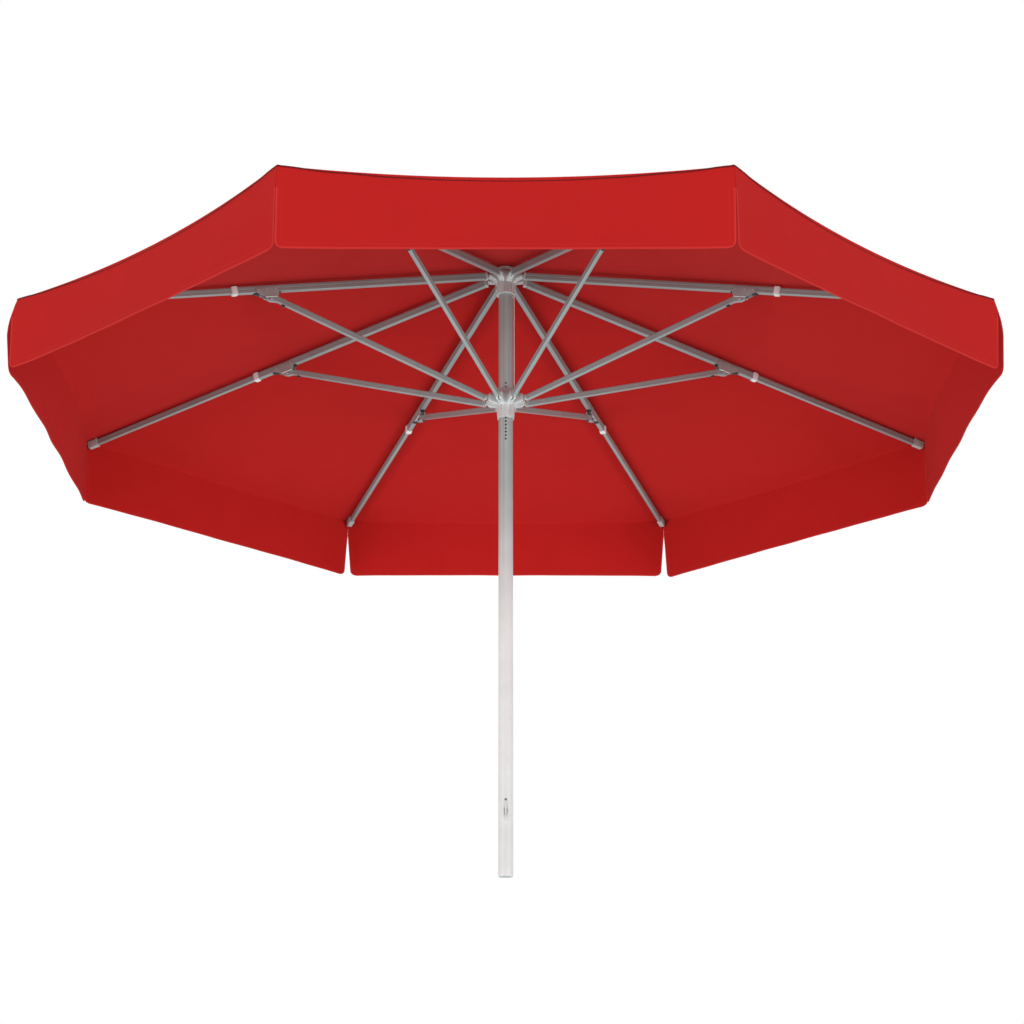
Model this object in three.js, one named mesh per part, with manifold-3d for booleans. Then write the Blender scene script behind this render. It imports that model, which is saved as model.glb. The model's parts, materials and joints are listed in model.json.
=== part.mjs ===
// Eight-rib market parasol with a hoist cord, a sliding runner and a hanging valance.
// Millimetres, +Z up. The origin is the centre of the mast's flat lower end.
// Local frames: "plane" coordinates are (radius, height) in the upright plane of one rib,
// and the tangential direction is across that plane.
import * as THREE from 'three'
import { mergeVertices } from 'three/addons/utils/BufferGeometryUtils.js'
import Module from 'manifold-3d'

const wasm = await Module()
wasm.setup()

// ---- driving dimensions -------------------------------------------------------------
const RIBS = 8
const SECTOR = Math.PI * 2 / RIBS
const HALF = SECTOR / 2
const FIRST_AZIMUTH = HALF

const MAST_RADIUS = 29
const MAST_WALL = 2.5
const MAST_TOP = 2520
const MAST_SIDES = 24

const PIVOT_RADIUS = 70                 // crown and runner pivots share this radius
const CROWN_Z = 2494
const RIB_SLOPE = THREE.MathUtils.degToRad(13.35)
const BRACKET_RADIUS = 1008
const RUNNER_Z = 1960
const BRACKET_Z = (CROWN_Z + RUNNER_Z) / 2
const LINK = Math.hypot(BRACKET_RADIUS - PIVOT_RADIUS, CROWN_Z - BRACKET_Z)
const LINK_SLOPE = Math.asin((CROWN_Z - BRACKET_Z) / LINK)
const FOLD = THREE.MathUtils.degToRad(73)
const RUNNER_DROP = 2 * LINK * (Math.sin(LINK_SLOPE + FOLD) - Math.sin(LINK_SLOPE))

const RIB_HEIGHT = 30
const RIB_WIDTH = 20
const RIB_WALL = 1.5
const RIB_START = 14                    // the tube begins this far from its pivot
const RIB_END = 1120
const TIP_HEIGHT = 26
const TIP_WIDTH = 16
const TIP_OVERLAP = 60
const TIP_END = 1972
const CAP_ROUND = 8                     // radius of the cap's outer edges
const CAP_LENGTH = 46
const CAP_HEIGHT = 33
const COLLAR_HALF = 12                  // half its length
const COLLAR_MARGIN = 5                 // how much larger it is than the rib

const STRUT_HEIGHT = 24
const STRUT_WIDTH = 16
const STRUT_RISE_OUTER = 12             // tube axis above the bracket pivot
const STRUT_DROP_INNER = 18             // tube axis below the runner pivot
const STRUT_START = 12                  // the tube begins and ends this far from its two pivots
const STRUT_STOP = 16
const STRUT_NOSE = 10

const TONGUE = 6
const SLOT = 6.8
const PIN_RADIUS = 3
const PIN_HOLE = 3.4
const ARM_WIDTH = 24
const ARM_NOSE = 9
const DRUM_RADIUS = 40
const NECK_RADIUS = 38
const RUNNER_NECK_RADIUS = 36.5
const NECK_TAPER = 34                   // radius at the runner's lower end
const CROWN_NECK = 76                   // how far the two necks reach below their pivots
const RUNNER_NECK = 92
const RUNNER_TOP = 37                   // the drum's top above the pivots
const CROWN_GUSSET = 28                 // how deep the arms are where they leave the hubs
const RUNNER_GUSSET = 32
const CAST_SINK = 3                     // how far an arm's root sits inside its hub
const GAP = 0.3

const CANOPY_RADIUS = 2000              // to a corner
const CANOPY_RIM_Z = 2058
const CANOPY_TOP_Z = 2537               // at DRUM_RADIUS
const CANOPY_EYELET = 30
const CLOTH = 1.2
const RIM_INWARD = 55                   // how far the rim curves in between two corners
const RIM_SAG = 29                      // and how far it hangs below a flat panel
const SEAM_GAP = 1

const VALANCE_BOTTOM_Z = 1760
const VALANCE_INWARD = 6
const SLIT_TOP = 80
const SLIT_HALF = 18
const FLAP_ROUND = 25

const HOLE_FIRST_Z = 1773
const HOLE_PITCH = 15.2
const HOLE_COUNT = 17
const HOLE_RADIUS = 4
const LOCK_Z = HOLE_FIRST_Z + 7 * HOLE_PITCH

const CORD_RADIUS = 2.5
const SHEAVE_RADIUS = 17                // to the middle of the cord
const SHEAVE_Z = 2483
const CORD_SLOT = 5                     // half the width of the crown's slot for the cord
const EYE_HEIGHT = 13                   // the eye's top above the runner's
const CLEAT_Z = 243
const OUTLET_Z = 292

// ---- materials ----------------------------------------------------------------------
const metal = (color, roughness) => new THREE.MeshStandardMaterial({ color, roughness, metalness: 0.9 })
const plain = (color, roughness) => new THREE.MeshStandardMaterial({ color, roughness, metalness: 0 })
const MATERIALS = {
  mast: metal(0xd9dcdc, 0.35),
  casting: metal(0xb9bdbd, 0.5),
  tube: metal(0xa4aaab, 0.42),
  sheet: metal(0xc3c6c5, 0.4),
  tip: plain(0xd3d6d5, 0.55),
  black: plain(0x17181a, 0.6),
  cord: plain(0xd8d3cc, 0.85),
  cloth: plain(0xb81e1e, 0.9)
}

// ---- geometry helpers ---------------------------------------------------------------
function solid (geometry) {
  const bare = geometry.index ? geometry.toNonIndexed() : geometry.clone()
  bare.deleteAttribute('normal')
  bare.deleteAttribute('uv')
  const merged = mergeVertices(bare, 1e-4)
  return new wasm.Manifold(new wasm.Mesh({
    numProp: 3,
    vertProperties: new Float32Array(merged.attributes.position.array),
    triVerts: new Uint32Array(merged.index.array)
  }))
}

function geometryOf (manifold) {
  const mesh = manifold.getMesh()
  const geometry = new THREE.BufferGeometry()
  geometry.setAttribute('position', new THREE.BufferAttribute(mesh.vertProperties, 3))
  geometry.setIndex(new THREE.BufferAttribute(mesh.triVerts, 1))
  return geometry.toNonIndexed()
}

function joined (parts) {
  return parts.reduce((whole, part) => whole.add(part))
}

function cut (whole, parts) {
  return parts.reduce((rest, part) => rest.subtract(part), whole)
}

// A box given by its lowest and highest corner.
function block (low, high) {
  const geometry = new THREE.BoxGeometry(high[0] - low[0], high[1] - low[1], high[2] - low[2])
  geometry.translate((low[0] + high[0]) / 2, (low[1] + high[1]) / 2, (low[2] + high[2]) / 2)
  return solid(geometry)
}

// A ring or disc about Z.
function ring (inner, outer, low, high, sides = MAST_SIDES) {
  const profile = [[inner, low], [outer, low], [outer, high], [inner, high]]
  if (inner > 0) {
    profile.push([inner, low])
  }
  const points = profile.map(([radius, z]) => new THREE.Vector2(radius, z))
  const geometry = new THREE.LatheGeometry(points, sides)
  geometry.rotateX(Math.PI / 2)
  return solid(geometry)
}

// A rod of round section from one point to another.
function rod (from, to, radius, sides = 8) {
  const start = new THREE.Vector3(...from)
  const along = new THREE.Vector3(...to).sub(start)
  const geometry = new THREE.CylinderGeometry(radius, radius, along.length(), sides)
  geometry.translate(0, along.length() / 2, 0)
  geometry.applyQuaternion(new THREE.Quaternion().setFromUnitVectors(
    new THREE.Vector3(0, 1, 0), along.clone().normalize()))
  geometry.translate(...from)
  return solid(geometry)
}

// A plate whose outline is drawn in (radius, height), centred across the rib plane.
function plate (shape, thickness, offset = 0) {
  const settings = { depth: thickness, bevelEnabled: false, curveSegments: 3 }
  const geometry = new THREE.ExtrudeGeometry(shape, settings)
  geometry.rotateX(Math.PI / 2)
  geometry.translate(0, thickness / 2 + offset, 0)
  return solid(geometry)
}

// A closed thin solid from an open sheet of quads, thickened along one direction.
function thicken (points, quads, offset) {
  const triangles = []
  const boundary = new Map()
  for (const quad of quads) {
    triangles.push([quad[0], quad[1], quad[2]], [quad[0], quad[2], quad[3]])
    quad.forEach((start, k) => {
      const end = quad[(k + 1) % 4]
      if (!boundary.delete(`${end},${start}`)) {
        boundary.set(`${start},${end}`, [start, end])
      }
    })
  }
  const back = points.map(point => point.clone().add(offset))
  const positions = []
  const face = (a, b, c) => positions.push(...a, ...b, ...c)
  for (const [a, b, c] of triangles) {
    face(points[a], points[c], points[b])
    face(back[a], back[b], back[c])
  }
  for (const [a, b] of boundary.values()) {
    face(points[a], points[b], back[b])
    face(points[a], back[b], back[a])
  }
  const geometry = new THREE.BufferGeometry()
  geometry.setAttribute('position', new THREE.Float32BufferAttribute(positions, 3))
  return geometry
}

// A cord along a list of points, as one swept solid.
function cordGeometry (points, steps, sides = 8) {
  const section = new THREE.Shape()
  section.absarc(0, 0, CORD_RADIUS, 0, Math.PI * 2)
  const route = points.map(point => new THREE.Vector3(...point))
  const extrudePath = new THREE.CatmullRomCurve3(route, false, 'centripetal')
  const settings = { steps, extrudePath, curveSegments: sides / 2, bevelEnabled: false }
  return new THREE.ExtrudeGeometry(section, settings)
}

function straightCord (from, to) {
  return geometryOf(rod(from, to, CORD_RADIUS, 8))
}

// ---- assembly helpers ---------------------------------------------------------------
const parasol = new THREE.Group()

function addMesh (parent, name, geometry, material) {
  geometry.computeVertexNormals()
  const mesh = new THREE.Mesh(geometry, material)
  mesh.name = name
  parent.add(mesh)
  return mesh
}

// The frame of one rib plane: X outward, Y across, Z up.
function ribPlane (index) {
  const group = new THREE.Group()
  group.rotation.z = FIRST_AZIMUTH + index * SECTOR
  parasol.add(group)
  return group
}

// A frame in a rib plane, with X along a member that falls by `slope` as it leaves the pivot.
function member (plane, radius, z, slope, heading = 0) {
  const group = new THREE.Group()
  group.position.set(radius, 0, z)
  group.rotation.set(0, slope, heading, 'ZYX')
  plane.add(group)
  return group
}

// ---- mast and what is fixed to it ---------------------------------------------------
function mastTube () {
  const holeZ = Array.from({ length: HOLE_COUNT }, (_, k) => HOLE_FIRST_Z + k * HOLE_PITCH)
  const across = MAST_RADIUS + 5
  const holes = holeZ.map(z => rod([0, -across, z], [0, across, z], HOLE_RADIUS, 6))
  const parked = LOCK_Z - RUNNER_DROP
  holes.push(rod([0, 0, parked], [0, across, parked], HOLE_RADIUS, 6))
  const sheaveSlot = block([20, -5.5, SHEAVE_Z - 22], [across, 5.5, SHEAVE_Z + 22])
  const axleHole = rod([SHEAVE_RADIUS, -across, SHEAVE_Z], [SHEAVE_RADIUS, across, SHEAVE_Z], PIN_HOLE)
  const outlet = rod([0, -across, OUTLET_Z], [0, 0, OUTLET_Z], CORD_RADIUS + 2, 10)
  const tube = ring(MAST_RADIUS - MAST_WALL, MAST_RADIUS, 0, MAST_TOP)
  return cut(tube, [...holes, sheaveSlot, axleHole, outlet])
}

function mastTopPlug () {
  const spigot = MAST_RADIUS - MAST_WALL - GAP
  return joined([
    ring(0, spigot, SHEAVE_Z + 25, MAST_TOP + 2),
    ring(0, DRUM_RADIUS, MAST_TOP + GAP, CANOPY_TOP_Z - 1.5)
  ])
}

function canopyCap () {
  const low = CANOPY_TOP_Z + 4.4
  const profile = [[0, CANOPY_TOP_Z - 1.2], [9, CANOPY_TOP_Z - 1.2], [9, low], [52, low], [52, low + 3]]
  for (const angle of [30, 60]) {
    const turn = THREE.MathUtils.degToRad(angle)
    profile.push([52 * Math.cos(turn), low + 3 + 14 * Math.sin(turn)])
  }
  profile.push([0, low + 17])
  const geometry = new THREE.LatheGeometry(profile.map(([r, z]) => new THREE.Vector2(r, z)), 16)
  geometry.rotateX(Math.PI / 2)
  return geometryOf(solid(geometry))
}

// The crown's arm: a nose around the pivot and a gusset under it that a folded rib clears.
function crownArm () {
  const shape = new THREE.Shape()
  shape.moveTo(NECK_RADIUS - CAST_SINK, -CROWN_GUSSET)
  shape.lineTo(PIVOT_RADIUS - 2 * ARM_NOSE, -ARM_NOSE - 3)
  shape.lineTo(PIVOT_RADIUS, -ARM_NOSE)
  shape.absarc(PIVOT_RADIUS, 0, ARM_NOSE, -Math.PI / 2, Math.PI / 2)
  shape.lineTo(NECK_RADIUS - CAST_SINK, 22)
  return clevis(shape)
}

// The runner's arm: deep below the pivot, and low above it where a folded strut stands.
function runnerArm () {
  const shape = new THREE.Shape()
  const nose = PIVOT_RADIUS + ARM_NOSE
  shape.moveTo(RUNNER_NECK_RADIUS - CAST_SINK, -RUNNER_GUSSET)
  shape.lineTo(nose - 4, 4 - RUNNER_GUSSET)
  shape.lineTo(nose, 8 - RUNNER_GUSSET)
  shape.absarc(PIVOT_RADIUS, 0, ARM_NOSE, 0, Math.PI / 2)
  shape.lineTo(RUNNER_NECK_RADIUS - CAST_SINK, 18)
  return clevis(shape)
}

// An arm of that outline with a slot for the tongue and the pivot's pin across it.
function clevis (shape) {
  const slot = block([PIVOT_RADIUS - 13, -SLOT / 2, -60], [PIVOT_RADIUS + 30, SLOT / 2, 60])
  const pin = rod([PIVOT_RADIUS, 1 - ARM_WIDTH / 2, 0], [PIVOT_RADIUS, ARM_WIDTH / 2 - 1, 0], PIN_RADIUS, 6)
  return plate(shape, ARM_WIDTH).subtract(slot).add(pin)
}

// A hub turned from a profile of [radius, height] round the bore, with eight arms.
function starHub ({ z, bore, outside, arm, cuts }) {
  const low = outside[0][1]
  const high = outside[outside.length - 1][1]
  const profile = [[bore, low], ...outside, [bore, high], [bore, low]]
  const geometry = new THREE.LatheGeometry(profile.map(([r, h]) => new THREE.Vector2(r, h)), MAST_SIDES)
  geometry.rotateX(Math.PI / 2)
  const parts = [solid(geometry)]
  for (let k = 0; k < RIBS; k++) {
    const azimuth = THREE.MathUtils.radToDeg(FIRST_AZIMUTH + k * SECTOR)
    parts.push(arm.rotate([0, 0, azimuth]))
  }
  const through = ring(0, bore, low - 5, high + 5)
  return cut(joined(parts).subtract(through).translate([0, 0, z]), cuts)
}

function crownHub () {
  const reach = MAST_RADIUS + 5
  const axle = rod([SHEAVE_RADIUS, -reach, SHEAVE_Z], [SHEAVE_RADIUS, reach, SHEAVE_Z], PIN_RADIUS)
  const cordSlot = block(
    [MAST_RADIUS - 3, -CORD_SLOT, CROWN_Z - CROWN_NECK - 5],
    [DRUM_RADIUS + 5, CORD_SLOT, SHEAVE_Z + 23])
  const high = MAST_TOP - CROWN_Z - 2
  const hub = starHub({
    z: CROWN_Z,
    bore: MAST_RADIUS + 0.4,
    outside: [[NECK_RADIUS, -CROWN_NECK], [NECK_RADIUS, -16], [DRUM_RADIUS, -14], [DRUM_RADIUS, high]],
    arm: crownArm(),
    cuts: [cordSlot]
  })
  return hub.add(axle)
}

function runnerHub () {
  const pinHole = rod([0, 20, LOCK_Z], [0, 60, LOCK_Z], PIN_HOLE + 0.4)
  return starHub({
    z: RUNNER_Z,
    bore: MAST_RADIUS + 0.6,
    outside: [
      [NECK_TAPER, -RUNNER_NECK], [RUNNER_NECK_RADIUS, 26 - RUNNER_NECK],
      [RUNNER_NECK_RADIUS, -RUNNER_GUSSET], [DRUM_RADIUS, 2 - RUNNER_GUSSET], [DRUM_RADIUS, RUNNER_TOP]
    ],
    arm: runnerArm(),
    cuts: [pinHole]
  })
}

// The drawn locking pin: a short rod with a head, on the far side of the runner.
function lockingPin () {
  const tip = MAST_RADIUS + 3
  const head = NECK_RADIUS + 19
  return joined([
    rod([0, tip, LOCK_Z], [0, head, LOCK_Z], PIN_RADIUS),
    rod([0, head, LOCK_Z], [0, head + 7, LOCK_Z], 9, 16)
  ])
}

function pulleySheave () {
  const root = SHEAVE_RADIUS - CORD_RADIUS - 0.7
  const rim = SHEAVE_RADIUS + 2.5
  const profile = [
    [PIN_HOLE, -4], [rim, -4], [root, -2.8], [root, 2.8], [rim, 4], [PIN_HOLE, 4], [PIN_HOLE, -4]
  ]
  const geometry = new THREE.LatheGeometry(profile.map(([r, y]) => new THREE.Vector2(r, y)), 20)
  geometry.translate(SHEAVE_RADIUS, 0, SHEAVE_Z)
  return geometryOf(solid(geometry))
}

function cordCleat () {
  const face = -MAST_RADIUS - GAP
  const foot = block([-6, face - 3, CLEAT_Z - 35], [6, face, CLEAT_Z + 35])
  const post = block([-3, face - 15, CLEAT_Z - 10], [3, face - 2, CLEAT_Z + 10])
  const horns = rod([0, face - 14, CLEAT_Z - 30], [0, face - 14, CLEAT_Z + 30], 3.5)
  return joined([foot, post, horns])
}

function cordEye () {
  const eyeZ = RUNNER_Z + RUNNER_TOP
  const radius = 2 * SHEAVE_RADIUS
  return cut(block([radius - 4.5, -5, eyeZ + GAP], [radius + 5, 5, eyeZ + EYE_HEIGHT]), [
    rod([radius, -9, eyeZ + 5], [radius, 9, eyeZ + 5], 1.8, 8)
  ])
}

function outerCord () {
  const radius = 2 * SHEAVE_RADIUS
  return straightCord([radius, 0, RUNNER_Z + RUNNER_TOP + EYE_HEIGHT + GAP], [radius, 0, SHEAVE_Z - 1])
}

// Over the sheave, down the middle of the mast, out of the outlet and round the cleat.
function sheaveArc () {
  const points = []
  for (let k = 0; k <= 8; k++) {
    const turn = Math.PI * k / 8
    points.push([
      SHEAVE_RADIUS + SHEAVE_RADIUS * Math.cos(turn), 0, SHEAVE_Z + SHEAVE_RADIUS * Math.sin(turn)
    ])
  }
  return points
}

function innerCord () {
  const face = -MAST_RADIUS - 6.3
  const over = sheaveArc()
  const bend = [[0, 0, OUTLET_Z + 24], [0, -3, OUTLET_Z + 10], [0, -12, OUTLET_Z + 2], [0, -24, OUTLET_Z]]
  const outside = [[0, -32, OUTLET_Z - 2], [0, face, OUTLET_Z - 9], [0, face, CLEAT_Z + 28]]
  const loop = []
  for (let k = 0; k <= 10; k++) {
    const turn = Math.PI / 2 - Math.PI * 2 * k / 12
    loop.push([8 * Math.cos(turn), face - 0.15 * k, CLEAT_Z + 18 * Math.sin(turn)])
  }
  const upper = cordGeometry(over, 8)
  const middle = straightCord([0, 0, OUTLET_Z + 23], [0, 0, SHEAVE_Z + 0.5])
  const lower = cordGeometry([...bend, ...outside, ...loop], 26)
  return geometryOf(joined([solid(upper), solid(middle), solid(lower)]))
}

// ---- one rib, strut and bracket -----------------------------------------------------
// All three are drawn in the rib's own frame: X along the rib from the crown pivot, Z up.
function tongue (length) {
  const shape = new THREE.Shape()
  shape.moveTo(length, -9)
  shape.lineTo(length, 9)
  shape.lineTo(0, 9)
  shape.absarc(0, 0, 9, Math.PI / 2, Math.PI * 3 / 2)
  const hole = rod([0, -TONGUE, 0], [0, TONGUE, 0], PIN_HOLE + 0.1)
  return plate(shape, TONGUE).subtract(hole)
}

function boxTube (start, end, height, width, wall) {
  const outer = block([start, -width / 2, -height / 2], [end, width / 2, height / 2])
  const inner = block([start - 1, -width / 2 + wall, -height / 2 + wall],
    [end + 1, width / 2 - wall, height / 2 - wall])
  return outer.subtract(inner)
}

// The solid end of a box tube.
function endPlug (start, end, height, width) {
  return block([start, -width / 2, -height / 2], [end, width / 2, height / 2])
}

function ribTube () {
  const tube = boxTube(RIB_START + 1, RIB_END, RIB_HEIGHT, RIB_WIDTH, RIB_WALL)
  const plug = endPlug(RIB_START, RIB_START + 16, RIB_HEIGHT, RIB_WIDTH)
  return joined([tube, plug, tongue(RIB_START + 4)])
}

function ribTip () {
  const tube = boxTube(RIB_END - TIP_OVERLAP, TIP_END - CAP_ROUND, TIP_HEIGHT, TIP_WIDTH, RIB_WALL)
  const height = RIB_HEIGHT + COLLAR_MARGIN
  const width = RIB_WIDTH + COLLAR_MARGIN
  const collarBack = boxTube(RIB_END - COLLAR_HALF, RIB_END + 1, height, width, COLLAR_MARGIN / 2 - 0.4)
  const collarFront = boxTube(RIB_END + 0.5, RIB_END + COLLAR_HALF, height, width, COLLAR_MARGIN)
  const capShape = new THREE.Shape()
  const half = CAP_HEIGHT / 2
  const round = CAP_ROUND
  capShape.moveTo(TIP_END - CAP_LENGTH, -half)
  capShape.lineTo(TIP_END - round, -half)
  capShape.absarc(TIP_END - round, -half + round, round, -Math.PI / 2, 0)
  capShape.absarc(TIP_END - round, half - round, round, 0, Math.PI / 2)
  capShape.lineTo(TIP_END - CAP_LENGTH, half)
  return joined([tube, collarBack, collarFront, plate(capShape, TIP_WIDTH + 6)])
}

// Where the bracket pivot lies in the rib's frame.
const PIVOT_ALONG = LINK * Math.cos(LINK_SLOPE - RIB_SLOPE)
const PIVOT_BELOW = LINK * Math.sin(LINK_SLOPE - RIB_SLOPE)

function strutBracket () {
  const plateGap = RIB_WIDTH + 2 * GAP
  const sheet = 2
  const under = -RIB_HEIGHT / 2
  const skirt = under - 21
  const lug = new THREE.Shape()
  lug.moveTo(58, 8)
  lug.lineTo(-36, 8)
  lug.lineTo(-36, under - 8)
  lug.lineTo(-27, skirt)
  lug.lineTo(-8, skirt)
  lug.lineTo(-8, -PIVOT_BELOW)
  lug.absarc(0, -PIVOT_BELOW, 8, Math.PI, Math.PI * 2)
  lug.lineTo(8, skirt)
  lug.lineTo(20, skirt)
  lug.lineTo(58, under)
  const offset = (plateGap + sheet) / 2
  const web = block([-33, -offset, under - GAP - sheet], [54, offset, under - GAP])
  const pin = rod([0, -offset, -PIVOT_BELOW], [0, offset, -PIVOT_BELOW], PIN_RADIUS, 6)
  const bracket = joined([plate(lug, sheet, offset), plate(lug, sheet, -offset), web, pin])
  return bracket.translate([PIVOT_ALONG, 0, 0])
}

// The strut's frame: X from the bracket pivot towards the runner pivot, Z up.
function strut () {
  const tilt = Math.atan2(STRUT_RISE_OUTER + STRUT_DROP_INNER, LINK)
  const end = LINK - STRUT_STOP
  const tube = boxTube(STRUT_START, end, STRUT_HEIGHT, STRUT_WIDTH, RIB_WALL)
  const plugs = [
    endPlug(STRUT_START, STRUT_START + 14, STRUT_HEIGHT, STRUT_WIDTH),
    endPlug(end - 14, end, STRUT_HEIGHT, STRUT_WIDTH)
  ]
  const body = joined([tube, ...plugs])
    .rotate([0, THREE.MathUtils.radToDeg(tilt), 0])
    .translate([0, 0, STRUT_RISE_OUTER])
  const outerEnd = new THREE.Shape()
  outerEnd.absarc(-12, 0, STRUT_NOSE, Math.PI / 2, Math.PI * 3 / 2)
  outerEnd.lineTo(0, -STRUT_NOSE)
  outerEnd.lineTo(24, -2)
  outerEnd.lineTo(24, 22)
  outerEnd.lineTo(4, 22)
  const innerEnd = new THREE.Shape()
  innerEnd.absarc(LINK, 0, 8, -Math.PI / 2, Math.PI / 2)
  innerEnd.lineTo(LINK - STRUT_STOP - 6, -8)
  innerEnd.lineTo(LINK - STRUT_STOP - 6, -28)
  innerEnd.lineTo(LINK - STRUT_STOP + 4, -26)
  const holes = [0, LINK].map(x => rod([x, -20, 0], [x, 20, 0], PIN_HOLE + 0.1))
  const drain = rod([LINK - 60, 0, -40], [LINK - 60, 0, -8], 2.5, 8)
  return cut(joined([body, plate(outerEnd, 12), plate(innerEnd, TONGUE)]), [...holes, drain])
}

// ---- canopy -------------------------------------------------------------------------
// `across` runs from -1 to 1 between the two panel centre lines beside a rib; 0 is the rib.
function sagShare (across) {
  return 1 - (1 - Math.abs(across)) ** 2
}

function onOctagon (radius, across, inward) {
  const side = Math.sign(across)
  const share = Math.abs(across)
  const middle = new THREE.Vector2(Math.cos(HALF) ** 2, side * Math.cos(HALF) * Math.sin(HALF))
  const point = new THREE.Vector2(1, 0).lerp(middle, share).multiplyScalar(radius)
  const normal = new THREE.Vector2(Math.cos(HALF), side * Math.sin(HALF))
  return point.addScaledVector(normal, -inward)
}

function canopyZ (radius) {
  const fall = (CANOPY_TOP_Z - CANOPY_RIM_Z) / (CANOPY_RADIUS - DRUM_RADIUS)
  return CANOPY_TOP_Z - (radius - DRUM_RADIUS) * fall
}

function canopyGore () {
  const rows = 5
  const columns = 8
  const points = []
  for (let row = 0; row <= rows; row++) {
    const t = row / rows
    const radius = CANOPY_EYELET + (CANOPY_RADIUS - CANOPY_EYELET) * t
    for (let column = 0; column <= columns; column++) {
      const across = (column / columns * 2 - 1) * (1 - SEAM_GAP / Math.max(radius * 0.38, 1))
      const plan = onOctagon(radius, across, RIM_INWARD * sagShare(across) * t ** 4)
      points.push(new THREE.Vector3(plan.x, plan.y, canopyZ(radius) - RIM_SAG * sagShare(across) * t ** 2))
    }
  }
  const quads = []
  for (let row = 0; row < rows; row++) {
    for (let column = 0; column < columns; column++) {
      const a = row * (columns + 1) + column
      quads.push([a, a + columns + 1, a + columns + 2, a + 1])
    }
  }
  return thicken(points, quads, new THREE.Vector3(0, 0, CLOTH))
}

// Two flaps that share a band at the top and part at a slit below the corner.
function valance () {
  const edge = CANOPY_RADIUS * Math.cos(HALF) * Math.tan(HALF)
  const steps = [0, 8, 25, edge * 0.45, edge - SEAM_GAP]
  const drop = CANOPY_RIM_Z - 1 - VALANCE_BOTTOM_Z
  const levels = [0, SLIT_TOP / drop, 0.6, 0.92, 1]
  const points = []
  const place = (side, distance, level) => {
    const below = Math.max(0, (level * drop - SLIT_TOP) / (drop - SLIT_TOP))
    const moved = distance + SLIT_HALF * below * (1 - distance / edge)
    const across = side * moved / edge
    const share = sagShare(across)
    const inward = THREE.MathUtils.lerp(RIM_INWARD, VALANCE_INWARD, level) * share - 3
    const plan = onOctagon(CANOPY_RADIUS, across, inward)
    const top = CANOPY_RIM_Z - 1 - (RIM_SAG - 0.22 * RIM_INWARD) * share
    const round = FLAP_ROUND - Math.sqrt(FLAP_ROUND ** 2 - Math.max(0, FLAP_ROUND - distance) ** 2)
    const z = THREE.MathUtils.lerp(top, VALANCE_BOTTOM_Z, level)
    const rise = round * THREE.MathUtils.smoothstep(level, 0.6, 1)
    return points.push(new THREE.Vector3(plan.x, plan.y, z + rise)) - 1
  }
  const quads = []
  const shared = levels.slice(0, 2).map(level => place(1, 0, level))
  for (const side of [1, -1]) {
    const grid = levels.map((level, row) => steps.map((distance, column) =>
      column === 0 && row < 2 ? shared[row] : place(side, distance, level)))
    for (let row = 0; row + 1 < levels.length; row++) {
      for (let column = 0; column + 1 < steps.length; column++) {
        const [upper, lower] = [grid[row], grid[row + 1]]
        const quad = [upper[column], lower[column], lower[column + 1], upper[column + 1]]
        quads.push(side > 0 ? quad : quad.reverse())
      }
    }
  }
  return thicken(points, quads, new THREE.Vector3(CLOTH, 0, 0))
}

// ---- the whole parasol --------------------------------------------------------------
addMesh(parasol, 'mast_tube', geometryOf(mastTube()), MATERIALS.mast)
addMesh(parasol, 'mast_foot_plug', geometryOf(ring(0, MAST_RADIUS - MAST_WALL - GAP, 0, 40)), MATERIALS.black)
addMesh(parasol, 'mast_top_plug', geometryOf(mastTopPlug()), MATERIALS.black)
addMesh(parasol, 'canopy_top_cap', canopyCap(), MATERIALS.tip)
addMesh(parasol, 'crown_hub', geometryOf(crownHub()), MATERIALS.casting)
addMesh(parasol, 'pulley_sheave', pulleySheave(), MATERIALS.black)
addMesh(parasol, 'runner_hub', geometryOf(runnerHub()), MATERIALS.casting)
addMesh(parasol, 'locking_pin', geometryOf(lockingPin()), MATERIALS.sheet)
addMesh(parasol, 'cord_cleat', geometryOf(cordCleat()), MATERIALS.tip)
addMesh(parasol, 'cord_eye', geometryOf(cordEye()), MATERIALS.sheet)
addMesh(parasol, 'hoist_cord_inner', innerCord(), MATERIALS.cord)
addMesh(parasol, 'hoist_cord_outer', outerCord(), MATERIALS.cord)

for (let k = 0; k < RIBS; k++) {
  const plane = ribPlane(k)
  const rib = member(plane, PIVOT_RADIUS, CROWN_Z, RIB_SLOPE)
  addMesh(rib, `rib_tube_${k + 1}`, geometryOf(ribTube()), MATERIALS.tube)
  addMesh(rib, `rib_tip_${k + 1}`, geometryOf(ribTip()), MATERIALS.tip)
  addMesh(rib, `strut_bracket_${k + 1}`, geometryOf(strutBracket()), MATERIALS.sheet)
  const brace = member(plane, BRACKET_RADIUS, BRACKET_Z, LINK_SLOPE, Math.PI)
  addMesh(brace, `strut_${k + 1}`, geometryOf(strut()), MATERIALS.tube)
  addMesh(plane, `canopy_gore_${k + 1}`, canopyGore(), MATERIALS.cloth)
  addMesh(plane, `valance_${k + 1}`, valance(), MATERIALS.cloth)
}

export default parasol
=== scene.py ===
import json
import math
import random

import bmesh
import bpy
from mathutils import Matrix, Vector


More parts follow.
